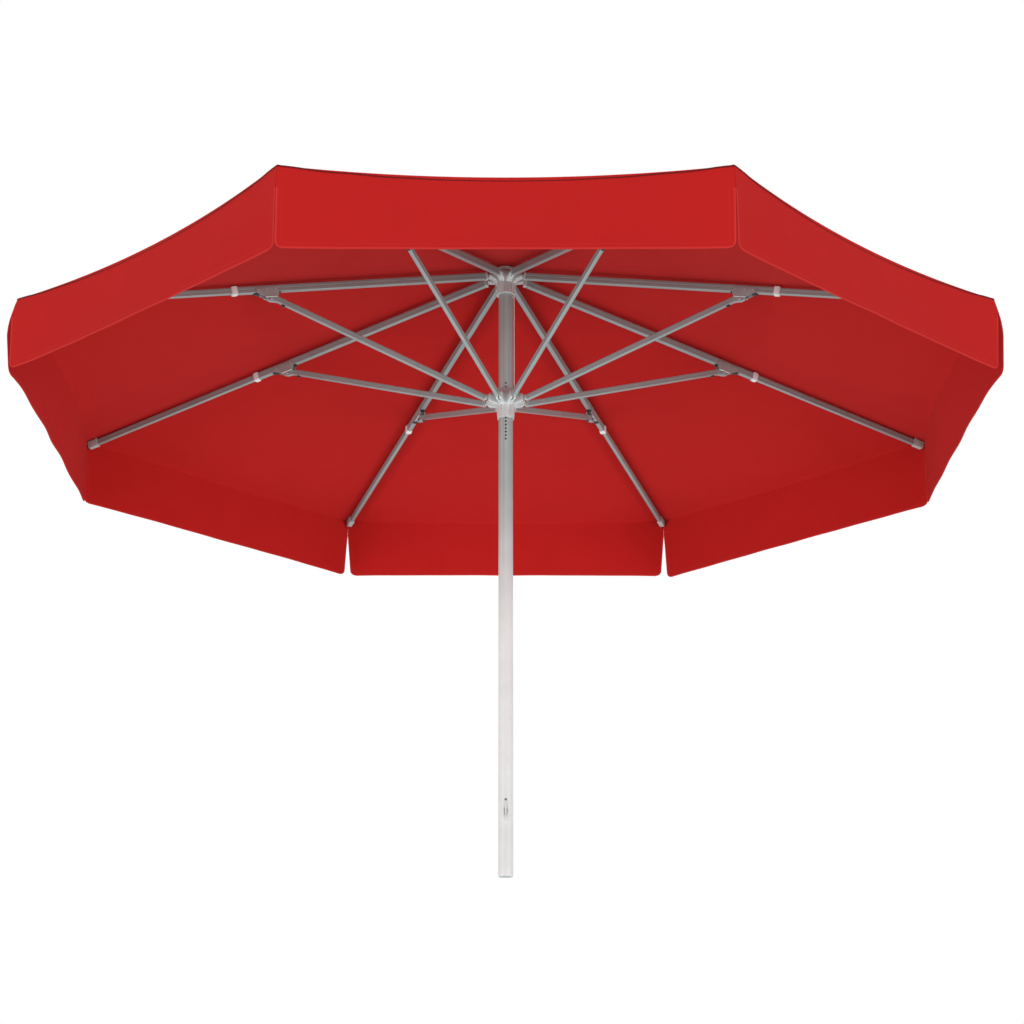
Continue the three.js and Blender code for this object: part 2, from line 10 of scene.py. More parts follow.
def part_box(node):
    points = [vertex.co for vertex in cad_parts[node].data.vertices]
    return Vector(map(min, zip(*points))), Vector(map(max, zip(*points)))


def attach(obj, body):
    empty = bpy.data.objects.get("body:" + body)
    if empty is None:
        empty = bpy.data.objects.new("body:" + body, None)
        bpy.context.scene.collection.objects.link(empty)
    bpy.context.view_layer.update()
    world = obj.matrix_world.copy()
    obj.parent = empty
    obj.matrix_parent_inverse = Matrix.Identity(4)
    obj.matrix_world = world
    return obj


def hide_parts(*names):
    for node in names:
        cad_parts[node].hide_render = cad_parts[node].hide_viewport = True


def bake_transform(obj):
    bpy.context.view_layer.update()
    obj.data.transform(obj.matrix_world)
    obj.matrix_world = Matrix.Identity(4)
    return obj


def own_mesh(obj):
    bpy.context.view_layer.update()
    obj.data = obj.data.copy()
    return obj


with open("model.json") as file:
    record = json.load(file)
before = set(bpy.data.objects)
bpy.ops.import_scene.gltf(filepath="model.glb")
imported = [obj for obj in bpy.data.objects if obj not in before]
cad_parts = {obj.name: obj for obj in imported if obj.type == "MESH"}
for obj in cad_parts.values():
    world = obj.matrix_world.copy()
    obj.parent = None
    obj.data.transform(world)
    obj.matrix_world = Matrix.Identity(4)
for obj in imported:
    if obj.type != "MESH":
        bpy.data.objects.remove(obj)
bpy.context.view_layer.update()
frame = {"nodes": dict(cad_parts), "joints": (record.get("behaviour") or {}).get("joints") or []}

# ---- dimensions, in metres, taken from the frame where it holds them ---------------------
JOINTS = {joint["name"]: joint for joint in frame["joints"]}
RIBS = 8
HALF = math.pi / RIBS


def plane_point(name):
    """(radius, height) of a joint in its rib's upright plane."""
    x, y, z = JOINTS[name]["pos_m"]
    return math.hypot(x, y), z


PIVOT_R, CROWN_Z = plane_point("rib_1_fold")
BRACKET_R, BRACKET_Z = plane_point("strut_1_pivot")
RUNNER_Z = plane_point("runner_level")[1]
CORNER_R, RIM_Z = plane_point("valance_1_hang")
SHEAVE = Vector(JOINTS["pulley_spin"]["pos_m"])
FOLD = math.radians(JOINTS["rib_1_fold"]["range_deg"][1])
LINK = math.hypot(BRACKET_R - PIVOT_R, CROWN_Z - BRACKET_Z)
LINK_SLOPE = math.asin((CROWN_Z - BRACKET_Z) / LINK)
RIB_SLOPE = math.radians(13.35)

MAST_R, _, MAST_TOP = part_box("mast_tube")[1]
MAST_BORE = MAST_R - 0.0025
HOLE_PITCH = 0.0152
HOLE_FIRST_Z = 1.773
HOLE_COUNT = 17
LOCK_Z = HOLE_FIRST_Z + 7 * HOLE_PITCH
RUNNER_DROP = 2 * LINK * (math.sin(LINK_SLOPE + FOLD) - math.sin(LINK_SLOPE))
OUTLET_Z = 0.292
CLEAT_LOW, CLEAT_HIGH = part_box("cord_cleat")
CLEAT_Z = (CLEAT_LOW[2] + CLEAT_HIGH[2]) / 2

RIB_WIDTH, RIB_HEIGHT = 0.020, 0.030
TIP_WIDTH, TIP_HEIGHT = 0.016, 0.026
RIB_START, RIB_END, TIP_END = 0.014, 1.120, 1.972
STRUT_WIDTH, STRUT_HEIGHT = 0.016, 0.024
STRUT_RISE, STRUT_DROP = 0.012, 0.018
STRUT_START, STRUT_STOP = 0.012, 0.016
DRUM_R, NECK_R = 0.040, 0.038
ARM_WIDTH, ARM_NOSE, SLOT = 0.024, 0.009, 0.0068
RUNNER_TOP = 0.037
HOLE_R = 0.004
CORD_R = 0.0025

CANOPY_TOP_Z = 2.537
RIM_INWARD, RIM_SAG = 0.055, 0.029
GORE_START, PATCH_END, EYELET = 0.100, 0.190, 0.030
VALANCE_BOTTOM_Z, VALANCE_INWARD = 1.760, 0.006
SLIT_TOP, FLAP_ROUND = 0.080, 0.028
HEM, PALE_EDGE_WIDTH, CLOTH, KEEP = 0.024, 0.0075, 0.0010, 0.128
THREAD_PITCH, STITCH_PITCH = 0.0016, 0.0045

CAMERA_PLACE, CAMERA_RISE = (0.0, -8.756, -1.553), math.radians(19.04)
CAMERA_LENS, CAMERA_SHIFT = 81.1, 0.0061
AMBIENT, FRONT_LIGHT, BACK_LIGHT, UNDER_LIGHT = 0.70, 1.75, 1.6, 48.0
FLOOR_TONE, FLOOR_HALF, FLOOR_LEVEL = 0.62, 6.0, -1.75
WHITE = (1.0, 1.0, 1.0, 1.0)


# ---- camera, stage and light --------------------------------------------------------------
def added(name, data):
    """A new object in the scene."""
    made = bpy.data.objects.new(name, data)
    bpy.context.scene.collection.objects.link(made)
    return made


def make_camera():
    data = bpy.data.cameras.new("camera")
    data.sensor_width = 36.0
    data.lens = CAMERA_LENS
    data.shift_x = CAMERA_SHIFT
    data.clip_end = 60.0
    camera = added("camera", data)
    camera.location = CAMERA_PLACE
    camera.rotation_euler = (math.pi / 2 + CAMERA_RISE, 0.0, 0.0)
    bpy.context.scene.camera = camera


def make_world():
    """A white surround, which lights the object less brightly than it shows to the camera."""
    world = bpy.data.worlds.new("studio")
    world.use_nodes = True
    tree = world.node_tree
    shown = tree.nodes["Background"]
    shown.inputs["Color"].default_value = WHITE
    lighting = node(tree, "ShaderNodeBackground", Color=WHITE, Strength=AMBIENT)
    mix = tree.nodes.new("ShaderNodeMixShader")
    rays = tree.nodes.new("ShaderNodeLightPath")
    tree.links.new(rays.outputs["Is Camera Ray"], mix.inputs[0])
    tree.links.new(lighting.outputs[0], mix.inputs[1])
    tree.links.new(shown.outputs[0], mix.inputs[2])
    tree.links.new(mix.outputs[0], tree.nodes["World Output"].inputs["Surface"])
    bpy.context.scene.world = world
    bpy.context.scene.view_settings.view_transform = "Standard"


def soft_light(name, azimuth, elevation, strength, spread):
    """A distant soft light that stands at that azimuth (0 at the front) and elevation, in degrees."""
    data = bpy.data.lights.new(name, "SUN")
    data.energy = strength
    data.angle = math.radians(spread)
    turn, lift = math.radians(azimuth), math.radians(elevation)
    level = math.cos(lift)
    toward = Vector((math.sin(turn) * level, -math.cos(turn) * level, math.sin(lift)))
    added(name, data).rotation_euler = toward.to_track_quat("Z", "Y").to_euler()


def make_lights():
    soft_light("front_left", -50, -17, FRONT_LIGHT, 35)
    soft_light("front_right", 50, -17, FRONT_LIGHT, 35)
    soft_light("back_fill", 180, 35, BACK_LIGHT, 40)
    data = bpy.data.lights.new("under_fill", "AREA")
    data.shape = "DISK"
    data.size = 4.5
    data.energy = UNDER_LIGHT
    light = added("under_fill", data)
    light.location = (0, 0, FLOOR_LEVEL + 0.05)
    light.rotation_euler = (math.pi, 0, 0)
    light.visible_camera = False


# ---- materials ----------------------------------------------------------------------------
def new_material(name, color, roughness, metallic=0.0):
    material = bpy.data.materials.new(name)
    material.use_nodes = True
    tree = material.node_tree
    shader = tree.nodes["Principled BSDF"]
    shader.inputs["Base Color"].default_value = (*color, 1.0)
    shader.inputs["Roughness"].default_value = roughness
    shader.inputs["Metallic"].default_value = metallic
    return material, tree, shader


def link(tree, source, output, target, socket):
    tree.links.new(source.outputs[output], target.inputs[socket])


def feed(tree, socket, value):
    """Links a socket to another, or sets it to a value."""
    if isinstance(value, bpy.types.NodeSocket):
        tree.links.new(value, socket)
    elif value is not None:
        socket.default_value = value


def node(tree, kind, **values):
    made = tree.nodes.new(kind)
    for key, value in values.items():
        if key in made.inputs:
            made.inputs[key].default_value = value
        else:
            setattr(made, key, value)
    return made


def math_node(tree, operation, first, second=None, third=None):
    made = node(tree, "ShaderNodeMath", operation=operation)
    for socket, value in zip(made.inputs, (first, second, third)):
        feed(tree, socket, value)
    return made.outputs[0]


def mixed(tree, factor, first, second, blend="MIX"):
    """Two colours mixed, each a socket or a value."""
    made = node(tree, "ShaderNodeMix", data_type="RGBA", blend_type=blend)
    for name, value in (("Factor", factor), ("A", first), ("B", second)):
        feed(tree, made.inputs[name], value)
    return made.outputs["Result"]


def ranged(tree, value, names, **settings):
    """A Map Range node fed by a socket. names gives its own sockets' values."""
    made = node(tree, "ShaderNodeMapRange", **settings)
    for name, number in names.items():
        made.inputs[name].default_value = number
    tree.links.new(value, made.inputs["Value"])
    return made.outputs["Result"]


def tone_of(color, red, other):
    return color[0] * red, color[1] * other, color[2] * other, 1.0


def mapped(tree, scale):
    """The object's own coordinates, scaled."""
    coordinates = tree.nodes.new("ShaderNodeTexCoord")
    mapping = node(tree, "ShaderNodeMapping", Scale=scale)
    link(tree, coordinates, "Object", mapping, "Vector")
    return mapping


def noise(tree, vector, **values):
    made = node(tree, "ShaderNodeTexNoise", **values)
    link(tree, vector, "Vector", made, "Vector")
    return made.outputs["Fac"]


def varied_color(tree, shader, vector, color, spread, scale):
    """Mixes two close tones over the surface with noise."""
    ramp = tree.nodes.new("ShaderNodeValToRGB")
    for element, position, share in zip(ramp.color_ramp.elements, (0.3, 0.7), (1 - spread, 1 + spread)):
        element.position = position
        element.color = (*[min(1.0, channel * share) for channel in color], 1.0)
    tree.links.new(noise(tree, vector, Scale=scale, Detail=4.0), ramp.inputs["Fac"])
    link(tree, ramp, "Color", shader, "Base Color")


def bumped(tree, shader, height, strength, distance):
    bump = node(tree, "ShaderNodeBump", Strength=strength, Distance=distance)
    tree.links.new(height, bump.inputs["Height"])
    link(tree, bump, "Normal", shader, "Normal")


def brushed_metal(name, color, roughness, metallic, along="Z"):
    """Extruded aluminium: long fine draw lines and a faintly uneven finish."""
    material, tree, shader = new_material(name, color, roughness, metallic)
    scale = {"X": (6, 900, 900), "Z": (900, 900, 6)}[along]
    lines = noise(tree, mapped(tree, scale), Scale=1.0, Detail=3.0)
    bumped(tree, shader, lines, 0.18, 0.0002)
    varied_color(tree, shader, mapped(tree, (9, 9, 9)), color, 0.05, 1.0)
    uneven = ranged(tree, lines, {"To Min": roughness - 0.06, "To Max": roughness + 0.08})
    tree.links.new(uneven, shader.inputs["Roughness"])
    return material


def mast_metal(name, color, roughness, metallic):
    """The mast's tube: drawn aluminium, painted darker and cooler in tint towards the top as painted
    shade under the canopy that also cancels the red light the canopy bounces onto it, with broad
    lengthwise bands of painted reflection that grow stronger towards the top.
    """
    material = brushed_metal(name, color, roughness, metallic)
    tree = material.node_tree
    base = tree.nodes["Principled BSDF"].inputs["Base Color"]
    # Broad lengthwise bands of painted reflection, stronger towards the top.
    painted_streaks = noise(tree, mapped(tree, (135, 135, 0.35)), Scale=1.0, Detail=1.0)
    split = tree.nodes.new("ShaderNodeSeparateXYZ")
    link(tree, mapped(tree, (1, 1, 1)), "Vector", split, "Vector")
    height = ranged(tree, split.outputs[2], {"From Min": 0.85, "From Max": 1.75},
                    interpolation_type="SMOOTHSTEP")
    depth = math_node(tree, "MULTIPLY_ADD", height, 0.55, 0.10)
    tone = math_node(tree, "MULTIPLY", math_node(tree, "SUBTRACT", painted_streaks, 0.5), depth)
    # Painted shade: darker and tinted cyan above 0.85 m, where the canopy shades the tube and bounces
    # red light onto it.
    painted_shade = mixed(tree, height, WHITE, (0.46, 0.57, 0.57, 1.0))
    shaded = mixed(tree, 1.0, base.links[0].from_socket, painted_shade, "MULTIPLY")
    banded = node(tree, "ShaderNodeVectorMath", operation="SCALE")
    tree.links.new(shaded, banded.inputs[0])
    tree.links.new(math_node(tree, "ADD", tone, 1.0), banded.inputs["Scale"])
    tree.links.new(banded.outputs[0], base)
    return material


def grained(name, color, roughness, metallic, grain, bump, tones):
    """A fine grain on a slightly uneven colour. grain sets the noise, bump is (strength, distance),
    and tones is (spread, scale)."""
    material, tree, shader = new_material(name, color, roughness, metallic)
    vector = mapped(tree, (1, 1, 1))
    bumped(tree, shader, noise(tree, vector, **grain), *bump)
    varied_color(tree, shader, vector, color, *tones)
    return material


def cast_metal(name, color, roughness, metallic):
    """Cast and tumbled aluminium: a fine orange-peel grain."""
    grain = {"Scale": 420.0, "Detail": 5.0, "Roughness": 0.6}
    return grained(name, color, roughness, metallic, grain, (0.3, 0.0004), (0.07, 34.0))


def moulded_plastic(name, color, roughness):
    grain = {"Scale": 1500.0, "Detail": 2.0}
    return grained(name, color, roughness, 0.0, grain, (0.12, 0.0002), (0.04, 60.0))


def woven_cloth(name, color, stitched=True):
    """Acrylic canvas: a plain weave in the cloth's own directions, a hem and two rows of stitches.
    The map "cloth" is in metres along and down the cloth, and "edge" is the distance from the hem."""
    material, tree, shader = new_material(name, color, 0.82)
    shader.inputs["Sheen Weight"].default_value = 0.02
    shader.inputs["Sheen Roughness"].default_value = 0.5
    shader.inputs["Specular IOR Level"].default_value = 0.06

    def axes(uv_map):
        split = tree.nodes.new("ShaderNodeSeparateXYZ")
        link(tree, node(tree, "ShaderNodeUVMap", uv_map=uv_map), "UV", split, "Vector")
        return split.outputs

    def wave(distance, pitch):
        return math_node(tree, "SINE", math_node(tree, "MULTIPLY", distance, 2 * math.pi / pitch))

    weft, warp = axes("cloth")[:2]
    weave = math_node(tree, "MULTIPLY", wave(weft, THREAD_PITCH), wave(warp, THREAD_PITCH))
    vector = mapped(tree, (1, 1, 1))
    slub = noise(tree, vector, Scale=260.0, Detail=3.0)
    soft = noise(tree, vector, Scale=7.0, Detail=2.0)
    height = math_node(tree, "MULTIPLY_ADD", weave, 0.25, slub)
    height = math_node(tree, "MULTIPLY_ADD", soft, 6.0, height)
    shade = math_node(tree, "MULTIPLY_ADD", soft, 0.7, math_node(tree, "MULTIPLY", weave, 0.12))
    result = mixed(tree, shade, tone_of(color, 0.93, 0.9), tone_of(color, 1.05, 1.1))
    if stitched:
        along, away = axes("edge")[:2]
        rows = []
        for offset in (0.004, HEM - 0.003):
            gap = math_node(tree, "ABSOLUTE", math_node(tree, "SUBTRACT", away, offset))
            rows.append(math_node(tree, "LESS_THAN", gap, 0.0007))
        dash = math_node(tree, "GREATER_THAN", wave(along, STITCH_PITCH), -0.45)
        stitch = math_node(tree, "MULTIPLY", math_node(tree, "ADD", *rows), dash)
        result = mixed(tree, stitch, result, tone_of(color, 1.15, 2.2))
        height = math_node(tree, "MULTIPLY_ADD", stitch, 1.6, height)
        # The last few millimetres before the hem's edge take a paler red.
        pale_edge = ranged(tree, away, {"From Min": PALE_EDGE_WIDTH, "From Max": PALE_EDGE_WIDTH * 0.6})
        result = mixed(tree, pale_edge, result, tone_of(color, 1.15, 2.3))
    tree.links.new(result, shader.inputs["Base Color"])
    bumped(tree, shader, height, 0.35, 0.0006)
    return material


def braided_cord(name, color):
    material, tree, shader = new_material(name, color, 0.85)
    vector = mapped(tree, (700, 700, 330))
    checks = node(tree, "ShaderNodeTexVoronoi", Scale=1.0)
    link(tree, vector, "Vector", checks, "Vector")
    bumped(tree, shader, checks.outputs["Distance"], 0.6, 0.0006)
    varied_color(tree, shader, vector, color, 0.12, 0.6)
    return material


RED = (0.415, 0.0112, 0.0100)
# The greys of the metals and plastics lean to cyan: a tint painted in to cancel the red light that the
# canopy bounces onto them.
MATERIALS = {
    "mast": mast_metal("mast_aluminium", (0.79, 0.80, 0.795), 0.34, 0.2),
    "rib": brushed_metal("rib_aluminium", (0.285, 0.335, 0.335), 0.36, 0.25, "X"),
    "cast": cast_metal("cast_aluminium", (0.56, 0.61, 0.61), 0.40, 0.2),
    "sheet": cast_metal("sheet_aluminium", (0.34, 0.385, 0.385), 0.36, 0.25),
    "steel": cast_metal("bolt_steel", (0.50, 0.53, 0.53), 0.30, 0.6),
    "white": moulded_plastic("white_plastic", (0.72, 0.76, 0.75), 0.45),
    "grey": moulded_plastic("grey_plastic", (0.40, 0.46, 0.45), 0.5),
    "black": moulded_plastic("black_plastic", (0.018, 0.018, 0.02), 0.45),
    # Near-black red for the rim lip: a painted line of shade along the canopy's rim.
    "painted_rim_shade": woven_cloth("canopy_painted_rim_shade", (0.12, 0.008, 0.008), False),
    "cloth": woven_cloth("canopy_cloth", RED),
    "cord": braided_cord("hoist_cord", (0.72, 0.69, 0.66)),
}


# ---- mesh building ------------------------------------------------------------------------
def add_prism(bm, outline, low, high):
    """An upright outline in (x, z), given thickness from y = low to y = high."""
    near = [bm.verts.new((x, low, z)) for x, z in outline]
    far = [bm.verts.new((x, high, z)) for x, z in outline]
    bm.faces.new(near)
    bm.faces.new(list(reversed(far)))
    for k in range(len(outline)):
        n = (k + 1) % len(outline)
        bm.faces.new((near[n], near[k], far[k], far[n]))


def add_extrusion(bm, section, start, end):
    """A closed section in (y, z), drawn out along x."""
    first = [bm.verts.new((start, y, z)) for y, z in section]
    last = [bm.verts.new((end, y, z)) for y, z in section]
    bm.faces.new(list(reversed(first)))
    bm.faces.new(last)
    for k in range(len(section)):
        n = (k + 1) % len(section)
        bm.faces.new((first[k], first[n], last[n], last[k]))


def add_box(bm, low, high):
    outline = [(low[0], low[2]), (high[0], low[2]), (high[0], high[2]), (low[0], high[2])]
    add_prism(bm, outline, low[1], high[1])


def add_lathe(bm, profile, segments=48, matrix=None):
    """Turns (radius, height) round Z. A profile that starts and ends on the axis is closed, and any
    other is joined end to start as a ring."""
    matrix = matrix or Matrix.Identity(4)
    rings = []
    for radius, height in profile:
        if radius < 1e-7:
            rings.append([bm.verts.new(matrix @ Vector((0, 0, height)))])
            continue
        turns = [2 * math.pi * k / segments for k in range(segments)]
        places = [Vector((radius * math.cos(a), radius * math.sin(a), height)) for a in turns]
        rings.append([bm.verts.new(matrix @ place_of) for place_of in places])
    pairs = list(zip(rings, rings[1:]))
    if len(rings[0]) > 1:
        pairs.append((rings[-1], rings[0]))
    for low, high in pairs:
        for k in range(segments):
            n = (k + 1) % segments
            lows, highs = len(low), len(high)
            corners = [low[k % lows], low[n % lows], high[n % highs], high[k % highs]]
            unique = list(dict.fromkeys(corners))
            if len(unique) > 2:
                bm.faces.new(unique)


def add_tube(bm, points, radius, sides):
    """A round cord or wire along a list of points, with flat ends."""
    points = [Vector(p) for p in points]
    rings = []
    side = None
    for k, point in enumerate(points):
        ahead = points[min(k + 1, len(points) - 1)] - points[max(k - 1, 0)]
        ahead.normalize()
        if side is None:
            side = ahead.orthogonal().normalized()
        side = (side - ahead * side.dot(ahead)).normalized()
        other = ahead.cross(side)
        turns = [2 * math.pi * s / sides for s in range(sides)]
        rings.append([bm.verts.new(point + radius * (side * math.cos(a) + other * math.sin(a)))
                      for a in turns])
    bm.faces.new(list(reversed(rings[0])))
    bm.faces.new(rings[-1])
    for low, high in zip(rings, rings[1:]):
        for k in range(sides):
            n = (k + 1) % sides
            bm.faces.new((low[k], low[n], high[n], high[k]))


def arc(cx, cy, radius, start, end, steps):
    """Points on an arc, angles in degrees."""
    points = []
    for k in range(steps + 1):
        angle = math.radians(start + (end - start) * k / steps)
        points.append((cx + radius * math.cos(angle), cy + radius * math.sin(angle)))
    return points


def soften(bm, width, angle=32.0, segments=2):
    """Bevels every edge sharper than the given angle."""
    bmesh.ops.recalc_face_normals(bm, faces=bm.faces[:])
    limit = math.radians(angle)
    sharp = [e for e in bm.edges if len(e.link_faces) == 2 and e.calc_face_angle(0) > limit]
    bmesh.ops.bevel(bm, geom=sharp, offset=width, segments=segments, profile=0.6, affect="EDGES",
                    clamp_overlap=True)


def merge(bm, part):
    """Adds one mesh in the making to another."""
    mesh = bpy.data.meshes.new("part")
    part.to_mesh(mesh)
    part.free()
    bm.from_mesh(mesh)


def soft_prism(bm, outline, low, high, width, angle=32):
    """Adds a prism with its edges softened."""
    part = bmesh.new()
    add_prism(part, outline, low, high)
    soften(part, width, angle)
    merge(bm, part)


def soft_box(bm, low, high, width):
    """Adds a box with its edges softened."""
    part = bmesh.new()
    add_box(part, low, high)
    soften(part, width)
    merge(bm, part)


def mesh_from(bm, name, matrix=None, smooth=38.0):
    if matrix is not None:
        bm.transform(matrix)
    bmesh.ops.recalc_face_normals(bm, faces=bm.faces[:])
    mesh = bpy.data.meshes.new(name)
    bm.to_mesh(mesh)
    bm.free()
    mesh.shade_smooth()
    mesh.set_sharp_from_angle(angle=math.radians(smooth))
    return mesh


def show(name, mesh, kind, replaced=None, azimuth=0.0):
    """Shows a mesh as a piece, turned to its rib, in a CAD node's place."""
    piece = added(name, mesh)
    if not mesh.materials:
        mesh.materials.append(MATERIALS[kind])
    piece.matrix_world = Matrix.Rotation(azimuth, 4, "Z")
    if replaced:
        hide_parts(replaced)
    return piece


def place(name, mesh, kind, body, replaced=None, azimuth=0.0):
    """Shows a piece that rides on a body."""
    piece = show(name, mesh, kind, replaced, azimuth)
    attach(piece, body)
    return piece


def azimuth_of(index):
    return HALF + index * 2 * HALF


def turned_mesh(name, profile, segments=48, matrix=None):
    bm = bmesh.new()
    add_lathe(bm, profile, segments, matrix)
    return mesh_from(bm, name)


def place_on_ribs(name, mesh, kind, body, replaced=None):
    """One copy for each rib. body and replaced are prefixes that take the rib's number."""
    for index in range(RIBS):
        number = index + 1
        place(f"{name}_{number}", mesh, kind, f"{body}_{number}",
              f"{replaced}_{number}" if replaced else None, azimuth_of(index))


def boolean(mesh, other, operation):
    """The mesh joined with or cut by another, both closed."""
    first, second = added("first", mesh), added("second", other)
    modifier = first.modifiers.new("boolean", "BOOLEAN")
    modifier.operation = operation
    modifier.solver = "EXACT"
    modifier.object = second
    graph = bpy.context.evaluated_depsgraph_get()
    result = bpy.data.meshes.new_from_object(first.evaluated_get(graph))
    for made in (first, second):
        bpy.data.objects.remove(made)
    return result


# ---- the mast and what is fixed to it -----------------------------------------------------
def mast_mesh():
    bm = bmesh.new()
    levels = [0.0, 0.001] + [k * 0.12 for k in range(1, 14)]
    levels += [1.70, 2.05, 2.2, 2.35, MAST_TOP - 0.001, MAST_TOP]
    outer = [(MAST_R - (0.001 if z in (0.0, MAST_TOP) else 0.0), z) for z in levels]
    add_lathe(bm, outer + [(MAST_BORE, MAST_TOP), (MAST_BORE, 0.0)], 96)
    tube = mesh_from(bm, "mast_profile")
    cuts = bmesh.new()
    across = Matrix.Rotation(math.pi / 2, 4, "X")
    reach = MAST_R + 0.01
    holes = [(HOLE_FIRST_Z + k * HOLE_PITCH, reach) for k in range(HOLE_COUNT)]
    holes.append((LOCK_Z - RUNNER_DROP, 0.0))
    for z, near in holes:
        profile = [(0.0, -reach), (HOLE_R, -reach), (HOLE_R, near), (0.0, near)]
        add_lathe(cuts, profile, 20, Matrix.Translation((0, 0, z)) @ across)
    add_lathe(cuts, [(0.0, 0.0), (0.0048, 0.0), (0.0048, reach), (0.0, reach)], 24,
              Matrix.Translation((0, 0, OUTLET_Z)) @ across)
    add_box(cuts, (0.020, -0.0055, SHEAVE.z - 0.022), (0.04, 0.0055, SHEAVE.z + 0.022))
    mesh = boolean(tube, mesh_from(cuts, "mast_cuts"), "DIFFERENCE")
    mesh.materials.clear()
    mesh.materials.append(MATERIALS["mast"])
    mesh.materials.append(MATERIALS["black"])
    # The bore and the walls of the holes are painted black: painted shade inside the tube, which is
    # bare aluminium there.
    for polygon in mesh.polygons:
        centre, normal = polygon.center, polygon.normal
        inside = math.hypot(centre.x, centre.y) < MAST_BORE
        in_wall = abs(normal.z) < 0.99 or abs(centre.y) < MAST_BORE
        if inside or abs(centre.x) < HOLE_R + 0.001 and abs(normal.y) < 0.3 and in_wall:
            polygon.material_index = 1
    round_normals(mesh, (MAST_BORE + MAST_R) / 2)
    return mesh


def round_normals(mesh, split_radius):
    """Smooth radial normals on the tube's outside, and flat ones in its holes."""
    mesh.shade_smooth()
    normals = [Vector((0, 0, 1))] * len(mesh.loops)
    for polygon in mesh.polygons:
        out = polygon.center * Vector((1, 1, 0))
        on_outside = out.length > split_radius and out.normalized().dot(polygon.normal) > 0.9
        for loop in polygon.loop_indices:
            place_of = mesh.vertices[mesh.loops[loop].vertex_index].co
            radial = (place_of * Vector((1, 1, 0))).normalized()
            normals[loop] = radial if on_outside else polygon.normal.copy()
    mesh.normals_split_custom_set(normals)


def foot_plug_mesh():
    r = MAST_BORE - 0.0004
    profile = [(0, 0.0035), (0.014, 0.0035), (0.0155, 0.001), (r - 0.001, 0.0), (r, 0.001),
               (r, 0.04), (0, 0.04)]
    return turned_mesh("foot_plug", profile)


def cap_mesh():
    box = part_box("canopy_top_cap")
    low, rim, top = box[0][2], box[1][0], box[1][2]
    base, spring = top - 0.017, top - 0.014
    profile = [(0, low), (0.009, low), (0.009, base), (rim - 0.002, base), (rim, base + 0.001),
               (rim, spring)]
    for turn in map(math.radians, range(8, 90, 8)):
        profile.append((rim * math.cos(turn), spring + (top - spring) * math.sin(turn)))
    profile.append((0, top))
    return turned_mesh("canopy_cap", profile, 64)


def crown_arm():
    """The crown arm's outline in (radius, height), with a gusset that a folded rib clears."""
    nose = arc(PIVOT_R, 0, ARM_NOSE, -90, 90, 12)
    foot = [(0.034, -0.030), (PIVOT_R - 0.018, -ARM_NOSE - 0.0035)]
    return foot + nose + [(PIVOT_R - 0.008, ARM_NOSE + 0.002), (0.048, 0.020), (0.034, 0.022)]


def runner_arm():
    nose = arc(PIVOT_R, 0, ARM_NOSE, 0, 90, 8)
    end = PIVOT_R + ARM_NOSE
    foot = [(0.034, -0.034), (end - 0.005, -0.028), (end, -0.023)]
    return foot + nose + [(0.058, 0.013), (0.034, 0.018)]


def add_turned(bm, build, azimuth):
    """Adds what build makes in a rib's plane, turned to that azimuth."""
    part = bmesh.new()
    build(part)
    part.transform(Matrix.Rotation(azimuth, 4, "Z"))
    merge(bm, part)


def hub_mesh(name, z, bore, outside, outline, flutes, pads=(), cuts=()):
    """A cast star hub: a turned body of (radius, height) with eight slotted arms. Down its neck run
    flutes, each (azimuth in degrees, half width, low, high), and pads given the same way stand on it.
    cuts are boxes, each (low corner, high corner)."""
    low, high = outside[0][1], outside[-1][1]
    bm = bmesh.new()
    inside = [(bore + 0.001, high), (bore, high - 0.001), (bore, low + 0.001), (bore + 0.001, low)]
    add_lathe(bm, outside + inside, 96)
    hub = mesh_from(bm, name)
    azimuths = [azimuth_of(index) for index in range(RIBS)]

    def arm(part):
        add_prism(part, outline, -ARM_WIDTH / 2, ARM_WIDTH / 2)
        soften(part, 0.0014, 30, 3)

    def pad(part):
        add_box(part, (0.032, -half, bottom), (0.0405, half, top))
        soften(part, 0.0008, 30, 2)

    def worked(build, turns, operation):
        cutter = bmesh.new()
        for turn in turns:
            add_turned(cutter, build, turn)
        return boolean(hub, mesh_from(cutter, "cutter"), operation)

    def cut(low_corner, high_corner, turns):
        return worked(lambda part: add_box(part, low_corner, high_corner), turns, "DIFFERENCE")

    for azimuth, half, bottom, top in pads:
        hub = worked(pad, [math.radians(azimuth)], "UNION")
    # Neighbouring arms overlap at their roots, so every other arm is joined at a time.
    for first in range(2):
        hub = worked(arm, azimuths[first::2], "UNION")
    hub = cut((PIVOT_R - 0.013, -SLOT / 2, -0.06), (PIVOT_R + 0.03, SLOT / 2, 0.06), azimuths)
    for azimuth, half, bottom, top in flutes:
        hub = cut((0.0338, -half, bottom), (0.052, half, top), [math.radians(azimuth)])
    for low_corner, high_corner in cuts:
        hub = cut(low_corner, high_corner, [0.0])
    bm = bmesh.new()
    bm.from_mesh(hub)
    return mesh_from(bm, name, Matrix.Translation((0, 0, z)), 35)


